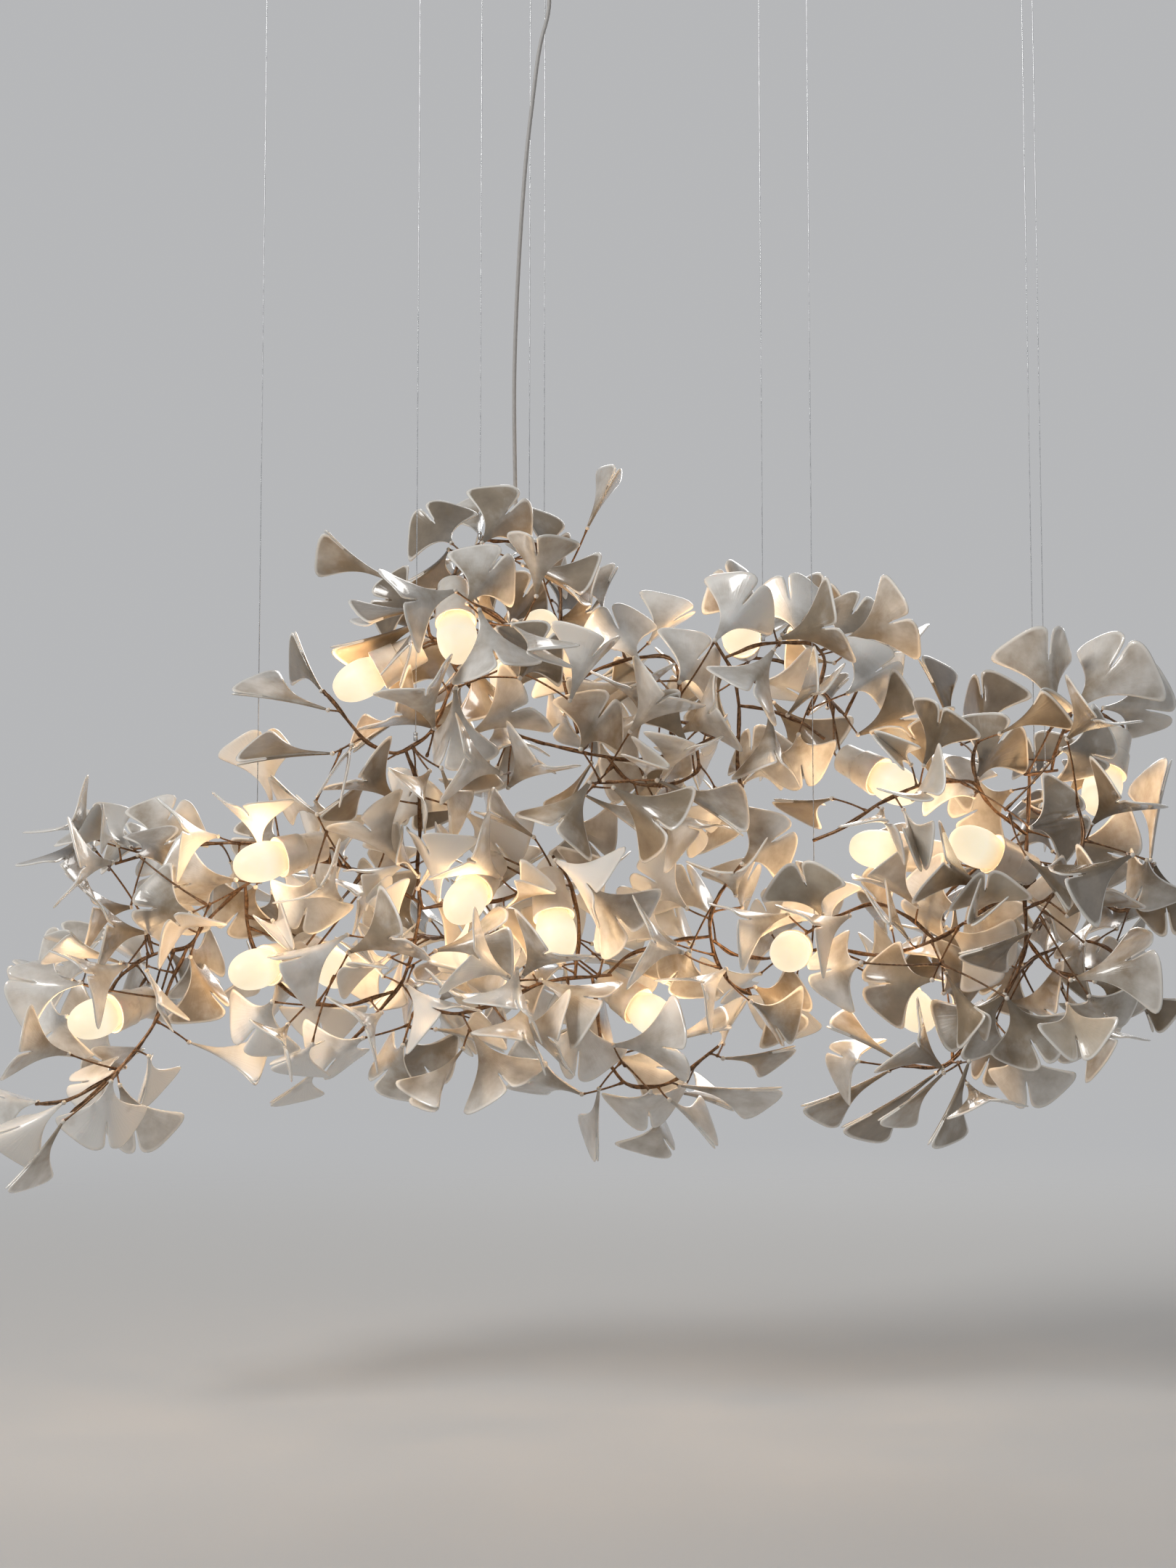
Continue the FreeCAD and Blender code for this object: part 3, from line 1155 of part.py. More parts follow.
def build_canopy():
    """Makes the bracket, its screws, the cord's grip, the terminal block, the cover and collar."""
    bracket = Part.makeBox(bracket_length, bracket_width, bracket_thickness,
                           vec(-bracket_length / 2, -bracket_width / 2, -bracket_thickness))
    screws = []
    for sign in (-1, 1):
        centre = vec(sign * bracket_hole_spacing / 2, 0, -bracket_thickness)
        bracket = bracket.cut(cylinder(centre, bracket_thickness, bracket_hole_diameter))
        head_top = centre - vec(0, 0, screw_gap)
        screws.append(prism_down(head_top, screw_head_diameter, screw_head_height))
    under = vec(0, 0, -bracket_thickness)
    grip = turned_solid(under, vec(0, 0, -1), [(0, grip_diameter / 2),
                                               (grip_length / 2, grip_diameter / 2),
                                               (grip_length, grip_nose_diameter / 2)], collar_sides)
    block_top = -bracket_thickness - terminal_gap
    terminal = Part.makeBox(terminal_width, terminal_length, terminal_height,
                            vec(terminal_offset / 2 - terminal_width / 2 + grip_diameter / 2,
                                -terminal_length / 2, block_top - terminal_height))
    floor = -cover_ceiling_gap - cover_height
    hole = cord_diameter / 2 + cover_hole_clearance
    cover = hollow_turned([(-cover_ceiling_gap, cover_diameter / 2),
                           (floor + cover_edge, cover_diameter / 2),
                           (floor, cover_diameter / 2 - cover_edge), (floor, hole),
                           (floor + cover_wall, hole),
                           (floor + cover_wall, cover_diameter / 2 - cover_edge - cover_wall / 2),
                           (floor + cover_edge + cover_wall / 2, cover_diameter / 2 - cover_wall),
                           (-cover_ceiling_gap, cover_diameter / 2 - cover_wall)], cover_sides)
    collar_top = floor - collar_gap
    bore = cord_diameter / 2 + collar_bore_clearance
    collar = hollow_turned([(collar_top, collar_diameter / 2),
                            (collar_top - collar_length + collar_edge, collar_diameter / 2),
                            (collar_top - collar_length, collar_diameter / 2 - collar_edge),
                            (collar_top - collar_length, bore), (collar_top, bore)], collar_sides)
    return bracket, screws, grip, terminal, cover, collar


# Build and write

os.makedirs("parts", exist_ok=True)


def write(name, solids):
    """Writes one node's solids to its STEP file."""
    shape = solids[0] if len(solids) == 1 else Part.makeCompound(solids)
    shape.exportStep("parts/" + name + ".step")


branch_solids = build_branches()
cord, sleeve_solid = build_cord()
wire_solids, ferrule_solids, gripper_solids, anchor_solids = build_wires()
cup_solids, insert_solids, bulb_solids, stem_solids, lamp_settings = build_lamps()
leaf_solids, twig_solids = build_leaves()
bracket_solid, screw_solids, grip_solid, terminal_solid, cover_solid, collar_solid = build_canopy()

for cluster, solids in branch_solids.items():
    write(cluster + "_branches", solids)
for cluster, solids in leaf_solids.items():
    write(cluster + "_leaves", solids)
    write(cluster + "_twigs", twig_solids[cluster])
write("lamp_cups", cup_solids)
write("socket_inserts", insert_solids)
write("lamp_stems", stem_solids)
for number, solid in enumerate(bulb_solids):
    write("bulb_%02d" % (number + 1), [solid])
write("suspension_wires", wire_solids)
write("wire_ferrules", ferrule_solids)
write("wire_grippers", gripper_solids)
write("ceiling_anchors", anchor_solids)
write("power_cord", [cord])
write("cord_sleeve", [sleeve_solid])
write("canopy_bracket", [bracket_solid])
write("bracket_screws", screw_solids)
write("cord_grip", [grip_solid])
write("terminal_block", [terminal_solid])
write("canopy_cover", [cover_solid])
write("cord_collar", [collar_solid])
for number, (mouth, axis, _) in enumerate(lamp_settings):
    print("lamp", number + 1, "mouth", [round(v, 2) for v in mouth], "axis", [round(v, 5) for v in axis])
print("leaves", {cluster: len(solids) for cluster, solids in leaf_solids.items()}, leaf_total)
print("origin is at the canopy; viewpoint", [round(value, 1) for value in viewpoint])
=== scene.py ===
import json
import math
import random
from itertools import accumulate

import bmesh
import bpy
from mathutils import Matrix, Vector
from mathutils.bvhtree import BVHTree
from mathutils.kdtree import KDTree


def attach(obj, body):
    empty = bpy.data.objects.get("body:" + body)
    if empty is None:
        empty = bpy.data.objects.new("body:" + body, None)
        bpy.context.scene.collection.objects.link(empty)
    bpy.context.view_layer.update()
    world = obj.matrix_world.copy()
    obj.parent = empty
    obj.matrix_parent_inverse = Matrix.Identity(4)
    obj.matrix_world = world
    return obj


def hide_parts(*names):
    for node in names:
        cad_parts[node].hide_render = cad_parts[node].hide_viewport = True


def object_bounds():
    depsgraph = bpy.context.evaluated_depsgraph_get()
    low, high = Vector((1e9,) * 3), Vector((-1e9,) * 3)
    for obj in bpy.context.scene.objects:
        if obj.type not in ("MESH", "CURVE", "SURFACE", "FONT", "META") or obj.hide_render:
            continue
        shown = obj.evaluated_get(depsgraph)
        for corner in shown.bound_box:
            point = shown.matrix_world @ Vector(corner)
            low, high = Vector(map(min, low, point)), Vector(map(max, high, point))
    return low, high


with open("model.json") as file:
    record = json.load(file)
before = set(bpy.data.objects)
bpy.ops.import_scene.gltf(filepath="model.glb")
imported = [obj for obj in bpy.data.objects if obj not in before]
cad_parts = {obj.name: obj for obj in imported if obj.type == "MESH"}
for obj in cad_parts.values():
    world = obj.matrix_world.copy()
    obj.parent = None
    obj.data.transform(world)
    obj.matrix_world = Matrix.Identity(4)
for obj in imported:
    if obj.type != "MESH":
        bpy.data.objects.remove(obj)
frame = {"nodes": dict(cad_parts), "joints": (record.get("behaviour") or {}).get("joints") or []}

# The looks of a hanging light of porcelain ginkgo leaves on bronze branches, in metres.
# Each detailed piece is built on what its CAD node says: a rod's line, a leaf's base and wings,
# a lamp's mouth and axis.

cad_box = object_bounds()

# Driving dimensions

# Reference view
view_distance = 2.75
metres_per_pixel = 0.00085
view_pitch_degrees = 5.0
view_centre_pixel = (810, 1080)
canopy_pixel = (757, -75)
image_height_pixels = 2160
spray_half_depth = 0.26
sensor_side_millimetres = 24.0
clip_near = 0.05
clip_far = 100.0

# Power cord: its route below the grip, as pixels of the view and shares of the depth
cord_diameter = 0.0048
cord_top_drop = 0.014
cord_straight_length = 0.07
cord_held_length = 0.036
cord_round_steps = 6
cord_route = [
    (743, 62, -0.01), (734, 136, 0.0), (725, 212, 0.02), (719, 290, 0.05), (714, 372, 0.08),
    (710, 455, 0.11), (708, 540, 0.14), (709, 622, 0.17), (710, 684, 0.19)]

# Reading the frame
weld_distance = 0.00002
ring_gap = 0.0035
joint_search_count = 40

# Porcelain leaves, in shares of the leaf's length: one half's side, far edge and slit
leaf_thickness = 0.0028
leaf_side_shares = [
    (0.022, 0.0), (0.034, 0.09), (0.066, 0.2), (0.13, 0.325), (0.245, 0.44), (0.385, 0.53),
    (0.525, 0.602), (0.652, 0.67)]
leaf_edge_shares = [
    (0.026, 0.98), (0.085, 1.015), (0.175, 1.018), (0.275, 0.99), (0.375, 0.935), (0.475, 0.872),
    (0.575, 0.806), (0.65, 0.738), (0.652, 0.67)]
leaf_slit_shares = [(0.0, 0.6), (0.01, 0.66), (0.01, 0.8), (0.026, 0.98)]
leaf_rows = 9
leaf_slit_row = 5
leaf_columns = 7
leaf_arch_share = 0.1
leaf_ridge_shares = (0.04, 0.19)
leaf_curl_shares = (0.0, 0.16)
leaf_wave_share = 0.016
leaf_waves = 8.5
# The leaf's own tone takes this share; the rest is painted shade that darkens each leaf towards its
# base.
leaf_tone_share = 0.76
leaf_own_tone_share = 0.62
# Painted shade by cluster: the crown at the top and the right cluster are darkest and the lower
# clusters palest, as light falls on them; a bigger share is paler.
cluster_painted_light_shares = {
    "crown": 0.05, "spine": 0.55, "arch": 0.5, "right": 0.1, "middle": 0.9, "lower_middle": 1.0,
    "lower_left": 0.8, "tail": 1.0}
cad_notch_along_share = 0.985
cad_wing_across_share = 0.61
bead_diameter = 0.0056
bead_rows = 9
bead_sides = 12
outline_steps = 6

# More leaves where the view is dense: pixel, reach in pixels and how many
dense_places = [
    (640, 880, 90, 5), (740, 960, 80, 5), (860, 1010, 90, 6), (980, 1060, 80, 5), (700, 1080, 80, 4),
    (560, 1110, 80, 4), (360, 1190, 80, 4), (470, 1260, 90, 6), (600, 1240, 90, 6), (720, 1230, 80, 5),
    (700, 1330, 90, 5), (560, 1350, 80, 4), (280, 1270, 60, 3), (130, 1300, 70, 3), (1100, 1290, 70, 4),
    (1230, 1110, 80, 4), (1300, 1230, 90, 5), (1400, 1150, 90, 5), (1480, 1260, 90, 5),
    (1340, 1350, 80, 4), (1500, 1380, 70, 3), (1160, 960, 60, 3), (100, 1165, 60, 3),
    (400, 1370, 70, 3)]
# Places of the view that stay open: pixel and radius in pixels
open_places = [(870, 1195, 80), (1010, 1440, 60), (1090, 1090, 50), (420, 1500, 60)]

# How the added leaves are drawn, and the room that they and their twigs need
more_tries_each = 120
more_reach_pixels = 60
more_leaf_length = 0.086
more_length_shares = (0.84, 1.06)
more_stand_offs = (0.016, 0.058)
more_folds_degrees = (14.0, 40.0)
more_narrow_folds_degrees = (66.0, 76.0)
more_narrow_share = 0.25
more_turns_degrees = (-75.0, 75.0)
more_wander_share = 0.6
leaf_gap = 0.004
rod_gap = 0.0022
seat_gap = 0.0065
lamp_room_radius = 0.027
lamp_room_ends = (-0.062, 0.088)
lamp_room_sides = 12
first_test_step = 3

# Bronze branches, twigs and stems
rod_diameter = 0.0038
rod_sides = 12
bend_trim_share = 0.4
bend_steps = 5
rod_step = 0.008
rod_wander_share = 0.07
strand_diameter = 0.0015
strand_reach = 0.0026
strand_turn_length = 0.115
strand_sides = 6
twig_diameter = 0.0023
twig_sides = 8
twig_bow_share = 0.03
joint_reach = 0.009
twig_length_shares = (0.0, 0.05, 0.1, 0.15, 0.3, 0.45, 0.6, 0.75, 0.88, 0.93, 0.97, 1.0)
twig_radius_shares = (1.6, 1.85, 1.7, 1.12, 1.04, 1.0, 1.0, 0.96, 0.92, 1.25, 1.4, 0.9)
stem_diameter = 0.0026
stem_foot_shares = (1.7, 1.75, 1.1)


def profile_of(*rows):
    """Returns a profile in metres from (distance, radius) rows in tenths of a millimetre."""
    return [(distance / 10000, radius / 10000) for distance, radius in rows]


# Lamps, with distances from the mouth of the cup outwards
lamp_sides = 48
cup_outside_steps = 2
cup_inside_steps = 3
glass_steps = 3
cap_start = -0.0425
cup_outside = profile_of(
    (-580, 150), (-570, 172), (-545, 180), (-440, 186), (-300, 194), (-290, 198), (-285, 211),
    (-275, 215), (-180, 222), (-80, 231), (-15, 239), (-3, 237))
cup_inside = profile_of((0, 228), (-10, 219), (-100, 196), (-180, 152), (-240, 93), (-540, 93))
glass_profile = profile_of(
    (-240, 69), (-170, 92), (-80, 145), (0, 185), (100, 219), (190, 229), (290, 223), (392, 201),
    (480, 155), (535, 100), (556, 50))
glass_tip = 0.056
glass_tip_radius = 0.0002
cap_profile = profile_of(
    (-424, 22), (-420, 34), (-405, 40), (-398, 62), (-385, 68), (-375, 63), (-362, 69), (-350, 63),
    (-337, 69), (-325, 63), (-312, 69), (-300, 63), (-287, 69), (-275, 66), (-245, 69))
insert_profile = profile_of(
    (-538, 70), (-534, 78), (-512, 78), (-508, 72), (-482, 72), (-478, 78), (-434, 78), (-430, 70))
glow_light_radius = 0.016
glow_light_power = 0.42
glow_light_colour = (1.0, 0.64, 0.33)

# Suspension fittings, with distances down from the top
wire_diameter = 0.0012
wire_sides = 6
wire_step = 0.003
wire_groove_share = 0.8
wire_turn_length = 0.016
fitting_sides = 36
anchor_profile = profile_of((0, 85), (4, 90), (50, 90), (64, 84), (76, 68), (90, 62))
gripper_profile = profile_of(
    (0, 42), (5, 45), (40, 45), (43, 41), (50, 41), (53, 45), (120, 45), (130, 43), (160, 32),
    (200, 23), (216, 20), (220, 14))
ferrule_profile = profile_of(
    (0, 15), (3, 22), (12, 25), (30, 25), (34, 21), (46, 21), (50, 25), (92, 25), (100, 21))

# Canopy, with distances up from the ceiling
canopy_sides = 96
cover_profile = profile_of(
    (-3, 500), (-200, 500), (-232, 494), (-252, 478), (-261, 452), (-263, 420), (-263, 42), (-257, 37),
    (-251, 42), (-251, 420), (-248, 452), (-238, 474), (-215, 485), (-200, 488), (-3, 488))
collar_profile = profile_of(
    (-266, 58), (-270, 60), (-296, 60), (-300, 57), (-306, 57), (-310, 60), (-336, 60), (-350, 53),
    (-356, 45), (-354, 30), (-345, 28), (-272, 28), (-266, 32))
grip_profile = profile_of(
    (-20, 66), (-24, 70), (-70, 70), (-78, 67), (-95, 60), (-102, 56), (-110, 54), (-118, 50),
    (-138, 45), (-140, 38))
screw_profile = profile_of((0, 40), (4, 40), (12, 36), (18, 28), (21, 14))
sleeve_shares = [
    (0.0, 0.8), (0.04, 0.95), (0.1, 1.0), (0.42, 1.0), (0.46, 0.9), (0.54, 0.9), (0.58, 1.0),
    (0.86, 1.0), (0.94, 0.92), (1.0, 0.66)]

# Edges
small_bevel = 0.0003
bevel_segments = 2
bevel_angle_degrees = 28.0

# Stage
floor_gap = 0.26
floor_half_width = 9.0
stage_target = (0.06, 0.0, -1.1)
stage_lights = [
    ("key", (-4.2, -4.0, 2.6), 2.2, 270.0, (1.0, 0.98, 0.95)),
    ("fill", (5.2, -3.6, 0.6), 4.4, 34.0, (0.93, 0.96, 1.0)),
    ("rim", (1.3, 5.2, 1.8), 3.4, 120.0, (1.0, 0.97, 0.93))]
stage_colour = (0.47, 0.475, 0.485)
floor_colour = (0.62, 0.62, 0.62)
floor_fade = (0.4, 5.6)
floor_roughness = 0.9
floor_gloss = 0.1
world_colour = (1.0, 1.0, 1.0)
world_strength = 0.2

# Finishes, with bumps as depths in metres; the leaves' colours hold painted shade, painted light and a
# painted highlight
grain_detail = {"Detail": 7.0, "Roughness": 0.6}
grain_places = (0.3, 0.7)
leaf_sockets = {
    "Subsurface Weight": 0.12, "Subsurface Scale": 0.0025, "Subsurface Radius": (1.0, 0.78, 0.58),
    "Coat Weight": 0.8, "Coat Roughness": 0.07, "IOR": 1.5}
cup_sockets = {
    "Subsurface Weight": 0.3, "Subsurface Scale": 0.003, "Subsurface Radius": (1.0, 0.7, 0.45),
    "Coat Weight": 0.3, "Coat Roughness": 0.15}
# Leaf colours by tone: the outside's are painted shade, darker and browner than the white porcelain,
# and the inside's are painted light, paler and warmer as if lit by the bulbs; a tone that varies at
# random from leaf to leaf picks among them.
leaf_outside_painted_shade_stops = [
    (0.12, (0.115, 0.086, 0.055)), (0.42, (0.285, 0.232, 0.168)), (0.74, (0.77, 0.765, 0.745))]
leaf_inside_painted_light_stops = [
    (0.12, (0.34, 0.285, 0.21)), (0.42, (0.6, 0.54, 0.455)), (0.76, (0.8, 0.79, 0.765))]
# Painted highlight: a pale band along each leaf's edges, where the rims catch light.
leaf_rim_highlight_stops = [(0.945, (0.0, 0.0, 0.0)), (0.985, (1.0, 1.0, 1.0))]
leaf_rim_highlight_colour = (0.8, 0.775, 0.73)
leaf_clouds = {"Scale": 26.0, "Detail": 5.0, "Roughness": 0.55}
leaf_cloud_tones = {"To_Min": -0.25, "To_Max": 0.35}
leaf_tone_weight = 0.9
leaf_ribs = {"Scale": 9.0, "Detail": 4.0, "Roughness": 0.6}
leaf_rib_stretch = (3.0, 1.0, 0.25)
leaf_bump = 0.0003
leaf_roughness = {"To_Min": 0.14, "To_Max": 0.28}
glow_stops = [
    (0.12, (0.72, 0.4, 0.17)), (0.34, (1.0, 0.75, 0.44)), (0.6, (1.0, 0.92, 0.7)),
    (1.0, (1.0, 0.84, 0.58))]
glow_strength = 0.8
ramp_middle = 0.5

# A colour mix node's two inputs and its output, by number
mix_first, mix_second, mix_result = 6, 7, 2

chance = random.Random(11)


# Reference view and camera

pitch = math.radians(view_pitch_degrees)
focal_pixels = view_distance / metres_per_pixel


def sight_line(u, v):
    """Returns the direction from the viewpoint through a pixel."""
    across = u - view_centre_pixel[0]
    up = view_centre_pixel[1] - v
    return Vector((across, focal_pixels * math.cos(pitch) - up * math.sin(pitch),
                   focal_pixels * math.sin(pitch) + up * math.cos(pitch)))


canopy_line = sight_line(*canopy_pixel)
viewpoint = canopy_line * (-view_distance / canopy_line.y)


def place(u, v, depth_share):
    """Returns the point behind a pixel at a share of the half depth."""
    line = sight_line(u, v)
    return viewpoint + line * ((depth_share * spray_half_depth + view_distance) / line.y)


def pixel_of(point):
    """Returns the pixel at which a point is seen."""
    away = point - viewpoint
    depth = away.y * math.cos(pitch) + away.z * math.sin(pitch)
    up = away.z * math.cos(pitch) - away.y * math.sin(pitch)
    return (view_centre_pixel[0] + focal_pixels * away.x / depth,
            view_centre_pixel[1] - focal_pixels * up / depth)


def put_in_scene(name, data):
    """Returns a new object of the scene that holds some data."""
    thing = bpy.data.objects.new(name, data)
    bpy.context.scene.collection.objects.link(thing)
    return thing


def put_light(name, kind, power, colour):
    """Returns a new light of the scene."""
    light = bpy.data.lights.new(name, kind)
    light.energy = power
    light.color = colour
    return put_in_scene(name, light)


def make_camera():
    """Puts the camera at the viewpoint of the photograph."""
    lens = bpy.data.cameras.new("camera")
    lens.sensor_width = sensor_side_millimetres
    lens.lens = sensor_side_millimetres * focal_pixels / image_height_pixels
    lens.clip_start, lens.clip_end = clip_near, clip_far
    camera = put_in_scene("camera", lens)
    camera.location = viewpoint
    camera.rotation_euler = (math.pi / 2 + pitch, 0, 0)
    bpy.context.scene.camera = camera


make_camera()


# Reading solids out of the CAD nodes

def solids_of(node):
    """Returns the welded points and their links for each solid of a CAD node."""
    mesh = bmesh.new()
    mesh.from_mesh(frame["nodes"][node].data)
    bmesh.ops.remove_doubles(mesh, verts=mesh.verts, dist=weld_distance)
    mesh.verts.index_update()
    solids, seen = [], set()
    for start in mesh.verts:
        if start.index in seen:
            continue
        island = [start]
        seen.add(start.index)
        for vertex in island:
            for edge in vertex.link_edges:
                other = edge.other_vert(vertex)
                if other.index not in seen:
                    seen.add(other.index)
                    island.append(other)
        numbers = {vertex.index: number for number, vertex in enumerate(island)}
        points = [vertex.co.copy() for vertex in island]
        links = [[numbers[edge.other_vert(vertex).index] for edge in vertex.link_edges]
                 for vertex in island]
        solids.append((points, links))
    mesh.free()
    return solids


def mean_of(points):
    """Returns the middle of some points."""
    return sum(points, Vector()) / len(points)


def rod_line(points, links):
    """Returns the middles of a rod's rings, from one end to the other."""
    rings, free = [], set(range(len(points)))
    while free:
        ring = [free.pop()]
        for number in ring:
            near = [other for other in free
                    if (points[other] - points[number]).length < ring_gap]
            free.difference_update(near)
            ring.extend(near)
        rings.append(ring)
    owners = {number: index for index, ring in enumerate(rings) for number in ring}
    nexts = [{owners[other] for number in ring for other in links[number]} - {index}
             for index, ring in enumerate(rings)]
    order = [next(index for index, near in enumerate(nexts) if len(near) == 1)]
    while len(order) < len(rings):
        order.append(next(index for index in nexts[order[-1]] if index not in order))
    return [mean_of([points[number] for number in rings[index]]) for index in order]


# Mesh shapes

class Shape:
    """Collects one piece's points and faces, with up to three numbers at each point."""

    def __init__(self):
        self.points, self.faces, self.notes = [], [], []

    def add(self, points, faces, notes=None):
        """Adds a closed shape."""
        first = len(self.points)
        self.points.extend(points)
        self.faces.extend([[first + number for number in face] for face in faces])
        self.notes.extend(notes or [(0.0, 0.0, 0.0)] * len(points))

    def make(self, name, material, slot, body="frame", nodes=()):
        """Turns the shape into a piece that rides on a body and stands for its nodes."""
        mesh = bpy.data.meshes.new(name)
        mesh.from_pydata(self.points, [], self.faces)
        mesh.shade_smooth()
        notes = mesh.attributes.new("notes", "FLOAT_VECTOR", "POINT")
        notes.data.foreach_set("vector", [value for note in self.notes for value in note])
        mesh.materials.append(material)
        piece = put_in_scene(name, mesh)
        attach(piece, body)
        if nodes:
            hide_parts(*nodes)
        return piece


def frames_along(path):
    """Returns each point of a path with two directions square to it that hardly turn."""
    side = (path[1] - path[0]).orthogonal()
    frames = []
    for before, centre, after in zip([path[0], *path], path, [*path[1:], path[-1]]):
        direction = (after - before).normalized()
        side = (side - direction * side.dot(direction)).normalized()
        frames.append((centre, side, direction.cross(side)))
    return frames


def ring_faces(sides, rings, closed):
    """Returns the faces between rings, and over both ends unless the rings close."""
    faces = []
    for ring in range(rings if closed else rings - 1):
        low, high = ring * sides, (ring + 1) % rings * sides
        for side in range(sides):
            after = (side + 1) % sides
            faces.append([low + side, low + after, high + after, high + side])
    if not closed:
        faces.append(list(range(sides))[::-1])
        faces.append([(rings - 1) * sides + side for side in range(sides)])
    return faces


def circle(centre, first, second, radius, sides):
    """Returns the points of a circle in the plane of two directions."""
    angles = [math.tau * number / sides for number in range(sides)]
    return [centre + (first * math.cos(angle) + second * math.sin(angle)) * radius
            for angle in angles]


def swept(path, radii, sides):
    """Returns a round rod's points and faces, with its own radius at each point."""
    points = []
    for (centre, side, up), radius in zip(frames_along(path), radii):
        points.extend(circle(centre, side, up, radius, sides))
    return points, ring_faces(sides, len(path), False)


def turned(origin, axis, profile, sides, closed=False):
    """Returns the points and faces of a shape turned round an axis."""
    first = axis.orthogonal().normalized()
    second = axis.cross(first)
    points = []
    for along, radius in profile:
        points.extend(circle(origin + axis * along, first, second, radius, sides))
    return points, ring_faces(sides, len(profile), closed)


def smooth_line(points, steps):
    """Returns a smooth line through flat points."""
    line = []
    row = [points[0], *points, points[-1]]
    for p0, p1, p2, p3 in zip(row, row[1:], row[2:], row[3:]):
        for step in range(steps):
            t = step / steps
            line.append(tuple(0.5 * (2 * b + (c - a) * t + (2 * a - 5 * b + 4 * c - d) * t * t
                                     + (3 * b - a - 3 * c + d) * t * t * t)
                              for a, b, c, d in zip(p0, p1, p2, p3)))
    return line + [tuple(points[-1])]


def at_share(line, share):
    """Returns the point at a share of a line's length."""
    spans = [math.dist(start, end) for start, end in zip(line, line[1:])]
    left = share * sum(spans)
    for start, end, span in zip(line, line[1:], spans):
        if left <= span:
            return [a + (b - a) * left / span for a, b in zip(start, end)]
        left -= span
    return list(line[-1])


def divided(line, step):
    """Returns a line with its runs divided evenly into steps of a length or less."""
    points = [line[0]]
    for start, end in zip(line, line[1:]):
        count = max(1, math.ceil((end - start).length / step))
        points.extend(start.lerp(end, (number + 1) / count) for number in range(count))
    return points


def rounded(path):
    """Rounds a rod's bends and divides its runs."""
    line = [path[0]]
    for before, corner, after in zip(path, path[1:], path[2:]):
        trim = bend_trim_share * min((corner - before).length, (after - corner).length)
        start = corner + (before - corner).normalized() * trim
        end = corner + (after - corner).normalized() * trim
        for number in range(bend_steps + 1):
            t = number / bend_steps
            line.append(start * (1 - t) ** 2 + corner * (2 * t * (1 - t)) + end * t * t)
    return divided(line + [path[-1]], rod_step)


def bevelled(piece):
    """Rounds a piece's sharp edges a little."""
    bevel = piece.modifiers.new("bevel", "BEVEL")
    bevel.width = small_bevel
    bevel.segments = bevel_segments
    bevel.limit_method = "ANGLE"
    bevel.angle_limit = math.radians(bevel_angle_degrees)


# Materials

def new_node(tree, kind, settings=None, **values):
    """Adds a shader node with its settings and the values of its inputs."""
    node = tree.nodes.new("ShaderNode" + kind)
    for name, value in (settings or {}).items():
        setattr(node, name, value)
    for name, value in values.items():
        node.inputs[name.replace("_", " ")].default_value = value
    return node


def colour_ramp(tree, stops):
    """Adds a colour ramp with the given (position, colour) stops."""
    ramp = new_node(tree, "ValToRGB")
    elements = ramp.color_ramp.elements
    while len(elements) < len(stops):
        elements.new(ramp_middle)
    for element, (position, colour) in zip(elements, stops):
        element.position = position
        element.color = (*colour, 1.0)
    return ramp


def join(tree, *rows):
    """Links nodes, each row an output and the input that it goes to."""
    for source, output, target, socket in rows:
        tree.links.new(source.outputs[output], target.inputs[socket])


def new_material(name, sockets):
    """Returns a new material, its tree and its shader with some sockets set."""
    material = bpy.data.materials.new(name)
    material.use_nodes = True
    shader = material.node_tree.nodes["Principled BSDF"]
    for socket, value in sockets.items():
        shader.inputs[socket].default_value = value
    return material, material.node_tree, shader


def surface(name, *colours, grain, bump, roughness, stretch=(1, 1, 1), places=grain_places,
            sockets=None):
    """Makes a material whose colour, roughness and bump follow a grain of some scale."""
    material, tree, shader = new_material(name, sockets or {})
    coordinates = new_node(tree, "TexCoord")
    mapping = new_node(tree, "Mapping", Scale=stretch)
    cloud = new_node(tree, "TexNoise", Scale=grain, **grain_detail)
    ramp = colour_ramp(tree, list(zip(places, colours)))
    spread = new_node(tree, "MapRange", To_Min=roughness[0], To_Max=roughness[1])
    relief = new_node(tree, "Bump", Distance=bump)
    join(tree, (coordinates, "Object", mapping, "Vector"), (mapping, "Vector", cloud, "Vector"),
         (cloud, "Fac", ramp, "Fac"), (ramp, "Color", shader, "Base Color"),
         (cloud, "Fac", spread, "Value"), (spread, "Result", shader, "Roughness"),
         (cloud, "Fac", relief, "Height"), (relief, "Normal", shader, "Normal"))
    return material


